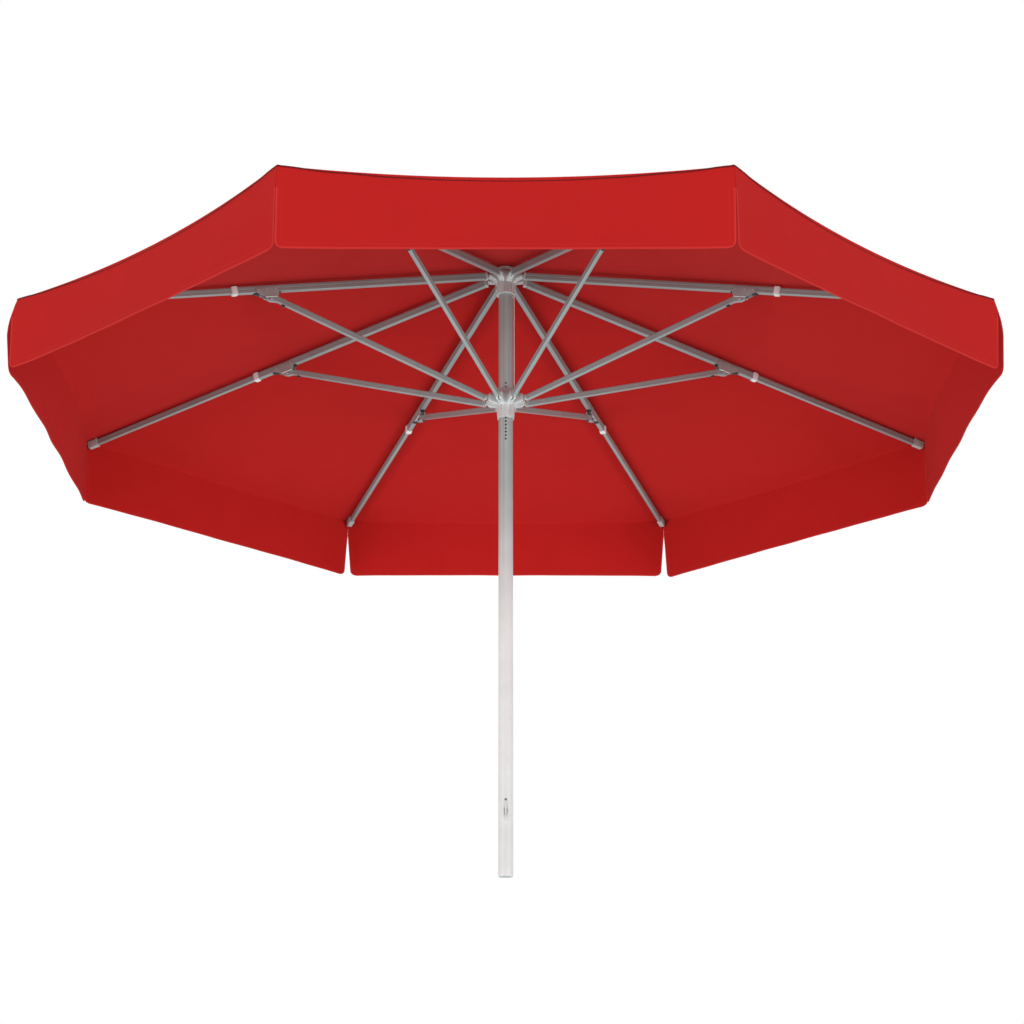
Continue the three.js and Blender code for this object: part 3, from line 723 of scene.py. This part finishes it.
CROWN_BODY = [(0.0382, -0.076), (0.0392, -0.075), (0.0392, -0.069), (0.0378, -0.068),
              (0.0378, -0.024), (0.046, -0.006), (0.046, 0.020), (0.044, 0.024)]
RUNNER_BODY = [(0.0330, -0.092), (0.0340, -0.091), (0.0365, -0.066), (0.0365, -0.036),
               (0.046, -0.014), (0.046, 0.021), (0.044, 0.023)]
CROWN_FLUTES = [(262, 0.0013, -0.064, -0.022), (274, 0.0013, -0.064, -0.022),
                (291, 0.0015, -0.064, -0.024), (310, 0.0018, -0.064, -0.024),
                (82, 0.0013, -0.064, -0.024), (98, 0.0013, -0.064, -0.024)]
CROWN_PADS = [(229, 0.0145, -0.066, -0.022), (49, 0.0145, -0.066, -0.022)]
RUNNER_FLUTES = [(300, 0.0038, -0.086, -0.038), (120, 0.0038, -0.074, -0.038),
                 (240, 0.0013, -0.060, -0.038)]


def runner_bush_mesh():
    """The slide bush that stands proud of the runner."""
    low, high, edge = 0.010, RUNNER_TOP, 0.0015
    inner, outer = MAST_R + 0.0004, 0.0365
    profile = [(outer, low), (outer, high - edge), (outer - edge, high), (inner + edge, high),
               (inner, high - edge), (inner, low)]
    return turned_mesh("runner_bush", profile, 64, Matrix.Translation((0, 0, RUNNER_Z)))


def bolt_profile(radius, head, height):
    """Half a domed head, standing on z = 0."""
    shank = [(0, -0.002), (radius, -0.002), (radius, 0), (head, 0), (head, height * 0.35)]
    dome = [(head * math.cos(a), height * (0.35 + 0.65 * math.sin(a)))
            for a in map(math.radians, (25, 50, 72))]
    return shank + dome + [(0, height)]


def add_bolt(bm, centre, half_width, radius, head, height, nut=True):
    """A pivot bolt across the rib plane: shank, domed head on one side and hexagon nut on the other."""
    along = Matrix.Translation(centre) @ Matrix.Rotation(-math.pi / 2, 4, "X")
    shank = [(0, -half_width), (radius, -half_width), (radius, half_width), (0, half_width)]
    add_lathe(bm, shank, 16, along)
    dome = bolt_profile(radius, head, height)
    add_lathe(bm, dome, 24, along @ Matrix.Translation((0, 0, half_width)))
    back = along @ Matrix.Translation((0, 0, -half_width)) @ Matrix.Rotation(math.pi, 4, "X")
    if nut:
        hexagon = [(0, 0), (head, 0), (head, height * 0.85), (head * 0.86, height), (0, height)]
        add_lathe(bm, hexagon, 6, back)
    else:
        add_lathe(bm, dome, 24, back)


def hub_bolts_mesh(name, z):
    def bolt(part):
        add_bolt(part, (PIVOT_R, 0, z), ARM_WIDTH / 2, 0.003, 0.0055, 0.0032)

    bm = bmesh.new()
    for index in range(RIBS):
        add_turned(bm, bolt, azimuth_of(index))
    return mesh_from(bm, name)


def locking_pin_mesh():
    tip, head = MAST_R + 0.003, NECK_R + 0.019
    away = Matrix.Translation((0, 0, LOCK_Z)) @ Matrix.Rotation(-math.pi / 2, 4, "X")
    profile = [(0, tip), (0.002, tip), (0.003, tip + 0.001), (0.003, head), (0.0065, head),
               (0.009, head + 0.0015), (0.009, head + 0.0055), (0.0075, head + 0.007),
               (0, head + 0.007)]
    return turned_mesh("locking_pin_piece", profile, 32, away)


def sheave_mesh():
    across = Matrix.Translation(SHEAVE) @ Matrix.Rotation(math.pi / 2, 4, "X")
    groove = [(0.0138 + 0.0052 * abs(k / 6) ** 2.2, 0.0032 * k / 6) for k in range(-6, 7)]
    profile = [(0.0034, -0.004), (0.0190, -0.004)] + groove + [(0.0190, 0.004), (0.0034, 0.004)]
    return turned_mesh("sheave", profile, 48, across)


def cleat_mesh():
    """A horn cleat: a base plate with round ends, a waist and two upswept horns."""
    bm = bmesh.new()
    back = CLEAT_HIGH[1]
    half = (CLEAT_HIGH[2] - CLEAT_LOW[2]) / 2
    base = bmesh.new()
    outline = arc(0, half - 0.006, 0.006, 0, 180, 10) + arc(0, -half + 0.006, 0.006, 180, 360, 10)
    add_prism(base, outline, back - 0.003, back)
    soften(base, 0.0006, 40)
    waist = [(0.0032, -0.012), (0.0028, 0.0), (0.0032, 0.012), (-0.0032, 0.012), (-0.0028, 0.0),
             (-0.0032, -0.012)]
    add_prism(base, waist, back - 0.016, back - 0.0025)
    merge(bm, base)
    horn = [(0, back - 0.0135 - 0.0022 * (k / 8) ** 2, half * 0.88 * k / 8) for k in range(-8, 9)]
    add_tube(bm, horn, 0.0033, 14)
    bm.transform(Matrix.Translation((0, 0, CLEAT_Z)))
    return mesh_from(bm, "cleat")


def cleat_screws_mesh():
    bm = bmesh.new()
    face = CLEAT_HIGH[1] - 0.003
    for side in (-1, 1):
        at = Matrix.Translation((0, face, CLEAT_Z + side * 0.029))
        outward = at @ Matrix.Rotation(math.pi / 2, 4, "X")
        add_lathe(bm, bolt_profile(0.0012, 0.0032, 0.0012), 20, outward)
    return mesh_from(bm, "cleat_screws")


def inner_cord_points():
    """Over the sheave, down the mast, out of the outlet, and round the cleat."""
    points = [(x, 0, z) for x, z in arc(SHEAVE.x, SHEAVE.z, SHEAVE.x, 0, 180, 12)]
    points += [(0, 0, SHEAVE.z - 0.4), (0, 0, 1.2)]
    through = [(0, 0.03), (-0.001, 0.018), (-0.005, 0.007), (-0.013, 0.0015), (-0.024, 0.0),
               (-0.031, -0.0015), (-0.0345, -0.006)]
    points += [(0, y, OUTLET_Z + rise) for y, rise in through]
    face = CLEAT_HIGH[1] - 0.006
    points += [(0, face, OUTLET_Z - 0.012), (0, face, CLEAT_Z + 0.029)]
    turns, steps = 3, 20
    for k in range(turns * steps - 3):
        turn = math.pi / 2 - 2 * math.pi * k / steps
        lift = 0.0022 * k / (turns * steps)
        points.append((0.0082 * math.cos(turn) + 0.0004 * math.sin(turn * 2), face - lift,
                       CLEAT_Z + (0.019 + 0.0012 * k / steps) * math.sin(turn)))
    return points


def cord_eye_mesh():
    bm = bmesh.new()
    low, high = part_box("cord_eye")
    middle = 2 * SHEAVE.x
    outline = [(middle - 0.0045, low[2]), (middle + 0.005, low[2])]
    outline += arc(middle + 0.0002, high[2] - 0.0045, 0.0045, 0, 180, 10)
    add_prism(bm, outline, -0.0035, 0.0035)
    soften(bm, 0.0007, 35)
    add_tube(bm, [(middle, 0, high[2] - 0.0035), (middle, 0, high[2] - 0.001)], 0.0032, 14)
    return mesh_from(bm, "cord_eye_piece")


def outer_cord_mesh(low, high):
    bm = bmesh.new()
    steps = 40
    points = [(2 * SHEAVE.x, 0, low + (high - low) * k / steps) for k in range(steps + 1)]
    add_tube(bm, points, CORD_R, 12)
    return mesh_from(bm, "hoist_cord_outside")


def make_mast():
    place("mast_profile", mast_mesh(), "mast", "mast", "mast_tube")
    place("foot_plug", foot_plug_mesh(), "grey", "mast", "mast_foot_plug")
    place("canopy_cap", cap_mesh(), "grey", "mast", "canopy_top_cap")
    cord_slot = ((MAST_R - 0.003, -0.005, -0.081), (0.052, 0.005, SHEAVE.z + 0.023 - CROWN_Z))
    crown = hub_mesh("crown_casting", CROWN_Z, MAST_R + 0.0004, CROWN_BODY, crown_arm(),
                     CROWN_FLUTES, CROWN_PADS, [cord_slot])
    place("crown_casting", crown, "cast", "mast", "crown_hub")
    place("crown_bolts", hub_bolts_mesh("crown_bolts", CROWN_Z), "steel", "mast")
    runner = hub_mesh("runner_casting", RUNNER_Z, MAST_R + 0.0006, RUNNER_BODY, runner_arm(),
                      RUNNER_FLUTES)
    place("runner_casting", runner, "cast", "runner", "runner_hub")
    place("runner_bush", runner_bush_mesh(), "sheet", "runner")
    place("runner_bolts", hub_bolts_mesh("runner_bolts", RUNNER_Z), "steel", "runner")
    place("locking_pin_piece", locking_pin_mesh(), "steel", "locking_pin", "locking_pin")
    place("sheave", sheave_mesh(), "black", "pulley", "pulley_sheave")
    place("cleat", cleat_mesh(), "white", "mast", "cord_cleat")
    place("cleat_screws", cleat_screws_mesh(), "steel", "mast")
    place("cord_eye_piece", cord_eye_mesh(), "steel", "cord_eye", "cord_eye")
    bm = bmesh.new()
    add_tube(bm, inner_cord_points(), CORD_R * 0.94, 12)
    place("hoist_cord_inside", mesh_from(bm, "hoist_cord_inside"), "cord", "mast", "hoist_cord_inner")
    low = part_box("cord_eye")[1][2] - 0.002
    outer = show("hoist_cord_outside", outer_cord_mesh(low, SHEAVE.z), "cord", "hoist_cord_outer")
    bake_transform(outer)
    plug = frame["nodes"]["mast_top_plug"].data
    plug.materials.clear()
    plug.materials.append(MATERIALS["cast"])


# ---- ribs, struts and brackets ------------------------------------------------------------
RIB_FRAME = Matrix.Translation((PIVOT_R, 0, CROWN_Z)) @ Matrix.Rotation(RIB_SLOPE, 4, "Y")
STRUT_FRAME = (Matrix.Translation((BRACKET_R, 0, BRACKET_Z)) @ Matrix.Rotation(math.pi, 4, "Z")
               @ Matrix.Rotation(LINK_SLOPE, 4, "Y"))
PIVOT_ALONG = LINK * math.cos(LINK_SLOPE - RIB_SLOPE)
PIVOT_BELOW = LINK * math.sin(LINK_SLOPE - RIB_SLOPE)
BRACKET_FRAME = RIB_FRAME @ Matrix.Translation((PIVOT_ALONG, 0, 0))


def tube_section(width, height, corner):
    """A rounded rectangle with a shallow groove along each upright side."""
    w, h = width / 2, height / 2
    groove, depth = 0.003, 0.0009
    points = arc(w - corner, -h + corner, corner, -90, 0, 4)
    points += [(w, -groove), (w - depth, -groove + depth), (w - depth, groove - depth), (w, groove)]
    points += arc(w - corner, h - corner, corner, 0, 90, 4)
    points += arc(-w + corner, h - corner, corner, 90, 180, 4)
    points += [(-w, groove), (-w + depth, groove - depth), (-w + depth, -groove + depth), (-w, -groove)]
    points += arc(-w + corner, -h + corner, corner, 180, 270, 4)
    return points


def profile_mesh(name, section, start, end, matrix):
    bm = bmesh.new()
    add_extrusion(bm, section, start, end)
    return mesh_from(bm, name, matrix, 25)


def rib_knuckle_mesh():
    """The cast end of a rib: a tongue in the hub's slot and a shouldered plug."""
    bm = bmesh.new()
    tongue = arc(0, 0, 0.009, 90, 270, 12) + [(0.018, -0.009), (0.018, 0.009)]
    soft_prism(bm, tongue, -0.003, 0.003, 0.0006)
    w, h = RIB_WIDTH / 2 + 0.0004, RIB_HEIGHT / 2 + 0.0004
    soft_box(bm, (RIB_START, -w, -h), (RIB_START + 0.009, w, h), 0.0015)
    return mesh_from(bm, "rib_knuckle", RIB_FRAME)


def collar_mesh():
    """The moulded collar where the tip tube enters the rib, with a stepped front."""
    bm = bmesh.new()
    w, h, step = RIB_WIDTH / 2 + 0.0025, RIB_HEIGHT / 2 + 0.0025, 0.0018
    soft_box(bm, (RIB_END - 0.012, -w, -h), (RIB_END + 0.008, w, h), 0.0018)
    w, h = w - step, h - step
    soft_box(bm, (RIB_END + 0.006, -w, -h), (RIB_END + 0.012, w, h), 0.0012)
    return mesh_from(bm, "rib_collar", RIB_FRAME)


def end_cap_mesh():
    """The plastic cap on a rib's tip, with a thicker mouth."""
    bm = bmesh.new()
    half, side, lip, rounding = 0.0165, TIP_WIDTH / 2 + 0.003, 0.0008, 0.008
    start, middle = TIP_END - 0.046, TIP_END - rounding
    outline = [(start, -half)] + arc(middle, -half + rounding, rounding, -90, 0, 6)
    outline += arc(middle, half - rounding, rounding, 0, 90, 6) + [(start, half)]
    soft_prism(bm, outline, -side, side, 0.0024)
    side, half = side + lip, half + lip
    soft_box(bm, (start - 0.001, -side, -half), (start + 0.004, side, half), 0.0012)
    return mesh_from(bm, "rib_end_cap", RIB_FRAME)


UNDER = -RIB_HEIGHT / 2
SKIRT = UNDER - 0.021
PLATE_INSIDE = RIB_WIDTH / 2 + 0.0003
SHEET = 0.002


def bracket_outline():
    lug = arc(0, -PIVOT_BELOW, 0.008, 180, 360, 10)
    inner = [(0.058, 0.008), (-0.036, 0.008), (-0.036, UNDER - 0.008), (-0.027, SKIRT), (-0.008, SKIRT)]
    return inner + lug + [(0.008, SKIRT), (0.020, SKIRT), (0.058, UNDER)]


def bracket_mesh():
    bm = bmesh.new()
    for side in (-1, 1):
        faces = sorted((side * PLATE_INSIDE, side * (PLATE_INSIDE + SHEET)))
        soft_prism(bm, bracket_outline(), *faces, 0.0005, 25)
    w = PLATE_INSIDE + 0.001
    soft_box(bm, (-0.033, -w, UNDER - 0.0023), (0.054, w, UNDER - 0.0004), 0.0004)
    return mesh_from(bm, "bracket_plates", BRACKET_FRAME)


def bracket_lip_mesh():
    """The outward-bent lip along the foot of each bracket plate."""
    bm = bmesh.new()
    outline = [(-0.027, SKIRT - 0.0012), (0.020, SKIRT - 0.0012), (0.024, SKIRT + 0.0018),
               (0.019, SKIRT + 0.0010), (-0.0275, SKIRT + 0.0010)]
    for side in (-1, 1):
        faces = sorted((side * (PLATE_INSIDE + 0.0008), side * (PLATE_INSIDE + 0.0055)))
        soft_prism(bm, outline, *faces, 0.0005, 20)
    return mesh_from(bm, "bracket_lip", BRACKET_FRAME)


def bracket_liner_mesh():
    """Black plastic wedges between the rib and both ends of the bracket."""
    bm = bmesh.new()
    outer = [(0.046, 0.0003), (0.067, 0.0003), (0.064, 0.005), (0.044, 0.009)]
    inner = [(-0.034, 0.0003), (-0.046, 0.0003), (-0.044, 0.0062), (-0.034, 0.0055)]
    for wedge in (outer, inner):
        outline = [(along, UNDER - below) for along, below in wedge]
        soft_prism(bm, outline, -RIB_WIDTH / 2, RIB_WIDTH / 2, 0.0008, 20)
    return mesh_from(bm, "bracket_liner", BRACKET_FRAME)


def bracket_fasteners_mesh():
    bm = bmesh.new()
    outside = PLATE_INSIDE + SHEET
    for along in (-0.026, 0.012, 0.046):
        add_bolt(bm, (along, 0, -0.002), outside, 0.0018, 0.0034, 0.0014, nut=False)
    add_bolt(bm, (0, 0, -PIVOT_BELOW), outside, 0.003, 0.0055, 0.0024)
    return mesh_from(bm, "bracket_fasteners", BRACKET_FRAME)


STRUT_TILT = math.atan2(STRUT_RISE + STRUT_DROP, LINK)
STRUT_AXIS = STRUT_FRAME @ Matrix.Translation((0, 0, STRUT_RISE)) @ Matrix.Rotation(STRUT_TILT, 4, "Y")


def strut_knuckle_mesh():
    """The strut's outer end: a deep round-nosed fitting between the bracket's plates."""
    bm = bmesh.new()
    outer = arc(-0.012, 0, 0.010, 90, 270, 12)
    outer += [(0, -0.010), (0.026, -0.0015), (0.026, 0.0235), (0.004, 0.0225)]
    soft_prism(bm, outer, -0.0072, 0.0072, 0.0014)
    return mesh_from(bm, "strut_knuckle", STRUT_FRAME)


def strut_tongue_mesh():
    bm = bmesh.new()
    stop = LINK - STRUT_STOP
    inner = arc(LINK, 0, 0.008, -90, 90, 12)
    inner += [(stop - 0.006, -0.008), (stop - 0.006, -0.028), (stop + 0.004, -0.026)]
    soft_prism(bm, inner, -0.003, 0.003, 0.0006)
    return mesh_from(bm, "strut_tongue", STRUT_FRAME)


def strut_caps_mesh():
    """Plastic end caps on the strut tube."""
    bm = bmesh.new()
    w, h = STRUT_WIDTH / 2 + 0.0006, STRUT_HEIGHT / 2 + 0.0006
    end = LINK - STRUT_STOP
    soft_box(bm, (end - 0.004, -w, -h), (end, w, h), 0.0009)
    return mesh_from(bm, "strut_cap", STRUT_AXIS)


def strut_bumper_mesh():
    """The black bumper under the strut, near its bracket."""
    bm = bmesh.new()
    below = -STRUT_HEIGHT / 2
    foot = arc(0.056, below - 0.0005, 0.0068, 180, 360, 10)
    outline = [(0.045, below + 0.002)] + foot + [(0.068, below + 0.002)]
    soft_prism(bm, outline, -0.006, 0.006, 0.0008, 20)
    return mesh_from(bm, "strut_bumper", STRUT_AXIS)


def make_ribs():
    rib = profile_mesh("rib_profile", tube_section(RIB_WIDTH, RIB_HEIGHT, 0.0028),
                       RIB_START + 0.008, RIB_END - 0.001, RIB_FRAME)
    tip = profile_mesh("rib_tip_profile", tube_section(TIP_WIDTH, TIP_HEIGHT, 0.0024),
                       RIB_END + 0.004, TIP_END - 0.010, RIB_FRAME)
    strut = profile_mesh("strut_profile", tube_section(STRUT_WIDTH, STRUT_HEIGHT, 0.0024),
                         STRUT_START + 0.001, LINK - STRUT_STOP - 0.001, STRUT_AXIS)
    place_on_ribs("rib_profile", rib, "rib", "rib", "rib_tube")
    place_on_ribs("rib_knuckle", rib_knuckle_mesh(), "cast", "rib")
    place_on_ribs("rib_tip_profile", tip, "rib", "rib", "rib_tip")
    place_on_ribs("rib_collar", collar_mesh(), "white", "rib")
    place_on_ribs("rib_end_cap", end_cap_mesh(), "grey", "rib")
    place_on_ribs("bracket_plates", bracket_mesh(), "sheet", "rib", "strut_bracket")
    place_on_ribs("bracket_lip", bracket_lip_mesh(), "white", "rib")
    place_on_ribs("bracket_liner", bracket_liner_mesh(), "black", "rib")
    place_on_ribs("bracket_fasteners", bracket_fasteners_mesh(), "steel", "rib")
    place_on_ribs("strut_profile", strut, "rib", "strut", "strut")
    place_on_ribs("strut_knuckle", strut_knuckle_mesh(), "sheet", "strut")
    place_on_ribs("strut_tongue", strut_tongue_mesh(), "cast", "strut")
    place_on_ribs("strut_cap", strut_caps_mesh(), "grey", "strut")
    place_on_ribs("strut_bumper", strut_bumper_mesh(), "black", "strut")


# ---- the canopy ---------------------------------------------------------------------------
SIDES = {1: "left", -1: "right"}


def rim_share(across):
    return 1 - (1 - across) ** 2


def on_octagon(radius, across, side, inward):
    """A plan point on the octagon of that corner radius: across is 0 at the rib and 1 at mid-panel."""
    x = 1 + (math.cos(HALF) ** 2 - 1) * across
    y = side * math.cos(HALF) * math.sin(HALF) * across
    return x * radius - inward * math.cos(HALF), y * radius - inward * side * math.sin(HALF)


def canopy_z(radius):
    return CANOPY_TOP_Z - (radius - DRUM_R) * (CANOPY_TOP_Z - RIM_Z) / (CORNER_R - DRUM_R)


def canopy_point(radius, across, side, lift=0.0):
    t = (radius - EYELET) / (CORNER_R - EYELET)
    share = rim_share(across)
    x, y = on_octagon(radius, across, side, RIM_INWARD * share * t ** 4)
    ripple = 0.0022 * math.sin(7.5 * math.pi * across) * (1 - across) ** 2 * t ** 5
    return Vector((x, y, canopy_z(radius) - RIM_SAG * share * t ** 2 + ripple + lift))


def cloth_piece(name, rows, thickness, cloth_map, edge_map):
    """A closed thin shell from rows of middle points. thickness(row, column) is in metres, and the two
    maps give each point its place in the cloth and its distance from the hem."""
    bm = bmesh.new()
    cloth_layer = bm.loops.layers.uv.new("cloth")
    edge_layer = bm.loops.layers.uv.new("edge")
    count_r, count_c = len(rows), len(rows[0])

    def normal(r, c):
        down = rows[min(r + 1, count_r - 1)][c] - rows[max(r - 1, 0)][c]
        right = rows[r][min(c + 1, count_c - 1)] - rows[r][max(c - 1, 0)]
        return down.cross(right).normalized()

    keys = {}
    sides = []
    for sign in (1, -1):
        grid = []
        for r, row in enumerate(rows):
            grid.append([bm.verts.new(point + normal(r, c) * sign * thickness(r, c) / 2)
                         for c, point in enumerate(row)])
            keys.update((vert, (r, c)) for c, vert in enumerate(grid[-1]))
        sides.append(grid)
    front, back = sides
    for r in range(count_r - 1):
        for c in range(count_c - 1):
            bm.faces.new((front[r][c], front[r + 1][c], front[r + 1][c + 1], front[r][c + 1]))
            bm.faces.new((back[r][c], back[r][c + 1], back[r + 1][c + 1], back[r + 1][c]))
    border = [(0, c) for c in range(count_c)] + [(r, count_c - 1) for r in range(1, count_r)]
    border += [(count_r - 1, c) for c in range(count_c - 2, -1, -1)]
    border += [(r, 0) for r in range(count_r - 2, 0, -1)]
    for (r0, c0), (r1, c1) in zip(border, border[1:] + border[:1]):
        bm.faces.new((front[r0][c0], front[r1][c1], back[r1][c1], back[r0][c0]))
    for face in bm.faces:
        for loop in face.loops:
            r, c = keys[loop.vert]
            loop[cloth_layer].uv = cloth_map(r, c)
            loop[edge_layer].uv = edge_map(r, c)
    return mesh_from(bm, name, smooth=60)


def gore_mesh(side):
    """Half a gore: from the rib's seam to mid-panel, with its rim rolled over the valance."""
    rows_n, columns_n = 44, 26
    radii = [GORE_START + (CORNER_R - GORE_START) * k / rows_n for k in range(rows_n + 1)]
    shares = [c / columns_n for c in range(columns_n + 1)]
    rows = [[canopy_point(radius, a, side) for a in shares] for radius in radii]
    rim = rows[-1]
    out = Vector((math.cos(HALF), side * math.sin(HALF), 0))
    lip = ((0.0010, 0.0, 0.0008), (0.0015, 0.0008, 0.0030), (0.0016, 0.0018, 0.0065))
    for away, spread, drop in lip:
        rows.append([point + out * (away + spread * rim_share(a)) - Vector((0, 0, drop))
                     for point, a in zip(rim, shares)])
    last = len(rows) - 1

    def width(r, c):
        return shares[c] * radii[min(r, rows_n)] * math.sin(HALF)

    def down(r):
        return radii[r] / math.cos(HALF) if r <= rows_n else radii[-1] + 0.004 * (r - rows_n)

    def hem_distance(r):
        return HEM + radii[-1] - radii[min(r, rows_n)]

    mesh = cloth_piece(
        f"gore_{SIDES[side]}", rows,
        lambda r, c: CLOTH,
        lambda r, c: (width(r, c), down(r)),
        lambda r, c: (width(r, c), hem_distance(r)))
    mesh.materials.append(MATERIALS["cloth"])
    mesh.materials.append(MATERIALS["painted_rim_shade"])
    # The lip's outward faces take the near-black red: a painted dark line of shade along the canopy's
    # rim.
    for polygon in mesh.polygons[2 * rows_n * columns_n:2 * last * columns_n]:
        polygon.material_index = int(polygon.normal.dot(out) > 0)
    return mesh


def seam_mesh():
    """The felled seam along the top of a rib, a narrow doubled strip."""
    rows_n = 44
    rows = []
    reach = CORNER_R - 0.006 - GORE_START
    radii = [GORE_START + 0.004 + reach * k / rows_n for k in range(rows_n + 1)]
    offsets = [-0.009, -0.0085, -0.0045, 0.0, 0.0045, 0.0085, 0.009]
    for radius in radii:
        line = []
        for offset in offsets:
            across = min(1.0, abs(offset) / (radius * math.cos(HALF) * math.sin(HALF)))
            point = canopy_point(radius, across, 1 if offset >= 0 else -1)
            rise = CLOTH * 0.5 + (0.0002 if abs(offset) > 0.0088 else 0.0011)
            line.append(point + Vector((0, 0, rise)))
        rows.append(line)
    return cloth_piece("seam", rows, lambda r, c: 0.0008,
                       lambda r, c: (radii[r], offsets[c]),
                       lambda r, c: (radii[r], 0.009 - abs(offsets[c])))


def patch_mesh():
    """One eighth of the doubled crown patch, which bends between the mast's cap and the rib."""
    radii = [EYELET + (PATCH_END - EYELET) * k / 20 for k in range(21)]
    shares = [k / 12 for k in range(-12, 13)]
    rows = []
    for radius in radii:
        lift = 0.0022 if radius > GORE_START - 0.01 else 0.0012
        rows.append([canopy_point(radius, abs(a), 1 if a >= 0 else -1, lift) for a in shares])

    def width(r, c):
        return shares[c] * radii[r] * math.sin(HALF)

    return cloth_piece("crown_patch", rows, lambda r, c: CLOTH,
                       lambda r, c: (width(r, c), radii[r]),
                       lambda r, c: (width(r, c), PATCH_END - radii[r]))


# How the hanging valance differs from corner to corner. Half the slit's width at the bottom, by rib:
SLITS = [0.002, 0.018, 0.018, 0.002, 0.003, 0.0015, 0.0045, 0.003]
# The outward swell beside a corner, by (rib, side): how much, how far down, and how much goes again.
SWELLS = {(4, -1): (0.030, 0.5, 0.5), (7, 1): (0.026, 0.5, 0.35), (4, 1): (0.020, 0.3, 0.2),
          (7, -1): (0.012, 0.3, 1.2), (3, 1): (-0.006, 1.0, 0.0), (0, -1): (-0.004, 1.0, 0.0)}
RESTING_SWELL = (0.003, 0.5, 0.8)
# How far a panel's lower edge hangs above its usual height, at its two ends:
LIFTS = [(0.005, 0.005), (0.019, 0.021), (0.020, 0.019), (0.014, -0.001), (0.006, -0.006),
         (-0.008, -0.008), (-0.008, 0.006), (-0.001, 0.010)]


def corner_swell(index, side, fallen, along):
    """The outward bulge of a flap beside its corner, which dies out along the panel."""
    amount, peak, loss = SWELLS.get((index, side), RESTING_SWELL)
    rise = math.sin(min(1.0, fallen / peak) * math.pi / 2)
    rest = 1 - loss * max(0.0, fallen - peak) / max(1 - peak, 0.001)
    return amount * rise * rest * math.exp(-along / 0.16)


def panel_waves(panel):
    """Three waves of (amplitude, number, weight) along a panel's hanging cloth."""
    chance = random.Random(40 + panel)
    return [(chance.uniform(0.0010, 0.0035), chance.choice((1, 2, 3)), chance.uniform(0.6, 1.0))
            for _ in range(3)]


def flap_mesh(index, side):
    """One valance flap: from the corner slit to mid-panel, hemmed along its slit and its bottom."""
    edge = CORNER_R * math.sin(HALF)
    columns_n = 40
    panel = index if side > 0 else (index - 1) % RIBS
    waves = panel_waves(panel)
    drop = RIM_Z - VALANCE_BOTTOM_Z
    lift_here, lift_there = LIFTS[panel][::side]
    heights = [drop * (1 - k / 20 * (1 - FLAP_ROUND / drop)) for k in range(21)]
    heights += [FLAP_ROUND * math.cos(math.radians(9 * k)) for k in range(1, 11)]
    normal = Vector((math.cos(HALF), side * math.sin(HALF), 0))
    rows = []
    measures = []
    for height in heights:
        fallen = 1 - height / drop
        slit = SLITS[index] * max(0.0, (fallen * drop - SLIT_TOP) / (drop - SLIT_TOP))
        short = max(0.0, FLAP_ROUND - height)
        rounding = FLAP_ROUND - math.sqrt(max(0.0, FLAP_ROUND ** 2 - short ** 2))
        start = slit + rounding
        line = []
        measure = []
        for c in range(columns_n + 1):
            spread = (c / columns_n) ** 1.25
            along = start + (edge - start) * spread
            across = along / edge
            share = rim_share(across)
            inward = RIM_INWARD + (VALANCE_INWARD - RIM_INWARD) * fallen
            x, y = on_octagon(CORNER_R, across, side, inward * share)
            top = RIM_Z - 0.0015 - (RIM_SAG - 0.22 * RIM_INWARD) * share
            low = VALANCE_BOTTOM_Z + lift_here + (lift_there - lift_here) * across / 2
            z = low + (top - low) * (height / drop)
            from_mid = 2 * math.pi * (edge - along) / edge
            wave = 0.0
            for amplitude, number, weight in waves:
                wave += amplitude * weight * (math.cos(number * from_mid) - 1) / 2
            away = wave * fallen ** 1.3 + corner_swell(index, side, fallen, along)
            line.append(Vector((x, y, z)) + normal * (away - 0.0004))
            from_slit = along - start if fallen * drop > SLIT_TOP else 1.0
            measure.append((along, height, min(height, from_slit)))
        rows.append(line)
        measures.append(measure)

    def thickness(r, c):
        return 0.0021 if measures[r][c][2] < HEM else CLOTH

    def edge_map(r, c):
        along, height, from_edge = measures[r][c]
        return along if height < HEM else height, max(0.0, from_edge)

    return cloth_piece(f"flap_{index + 1}_{SIDES[side]}", rows, thickness,
                       lambda r, c: measures[r][c][:2], edge_map)


def turned_copy(mesh, turn):
    """A mesh of its own, turned in its points, so that its box stays tight."""
    copy = mesh.copy()
    copy.transform(turn)
    return copy


def make_canopy():
    gores = {side: gore_mesh(side) for side in SIDES}
    seam_strip = seam_mesh()
    patch = patch_mesh()
    for index in range(RIBS):
        number = index + 1
        turn = Matrix.Rotation(azimuth_of(index), 4, "Z")
        seam = place(f"seam_{number}", seam_strip, "cloth", f"rib_{number}", None, azimuth_of(index))
        for side, word in SIDES.items():
            gore = place(f"gore_{number}_{word}", turned_copy(gores[side], turn), "cloth",
                         f"rib_{number}", f"canopy_gore_{number}" if side > 0 else None)
            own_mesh(gore)
            flap = place(f"flap_{number}_{word}", turned_copy(flap_mesh(index, side), turn), "cloth",
                         f"valance_{number}", f"valance_{number}" if side > 0 else None)
            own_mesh(flap)
        crown = show(f"crown_patch_{number}", patch.copy(), "cloth", None, azimuth_of(index))
        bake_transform(crown)


def make_floor():
    bm = bmesh.new()
    signs = ((-1, -1), (1, -1), (1, 1), (-1, 1))
    bm.faces.new([bm.verts.new((x * FLOOR_HALF, y * FLOOR_HALF, FLOOR_LEVEL)) for x, y in signs])
    floor = added("floor", mesh_from(bm, "floor"))
    floor.data.materials.append(new_material("pale_floor", (FLOOR_TONE,) * 3, 0.9)[0])


make_camera()
make_world()
make_lights()
make_floor()
make_mast()
make_ribs()
make_canopy()
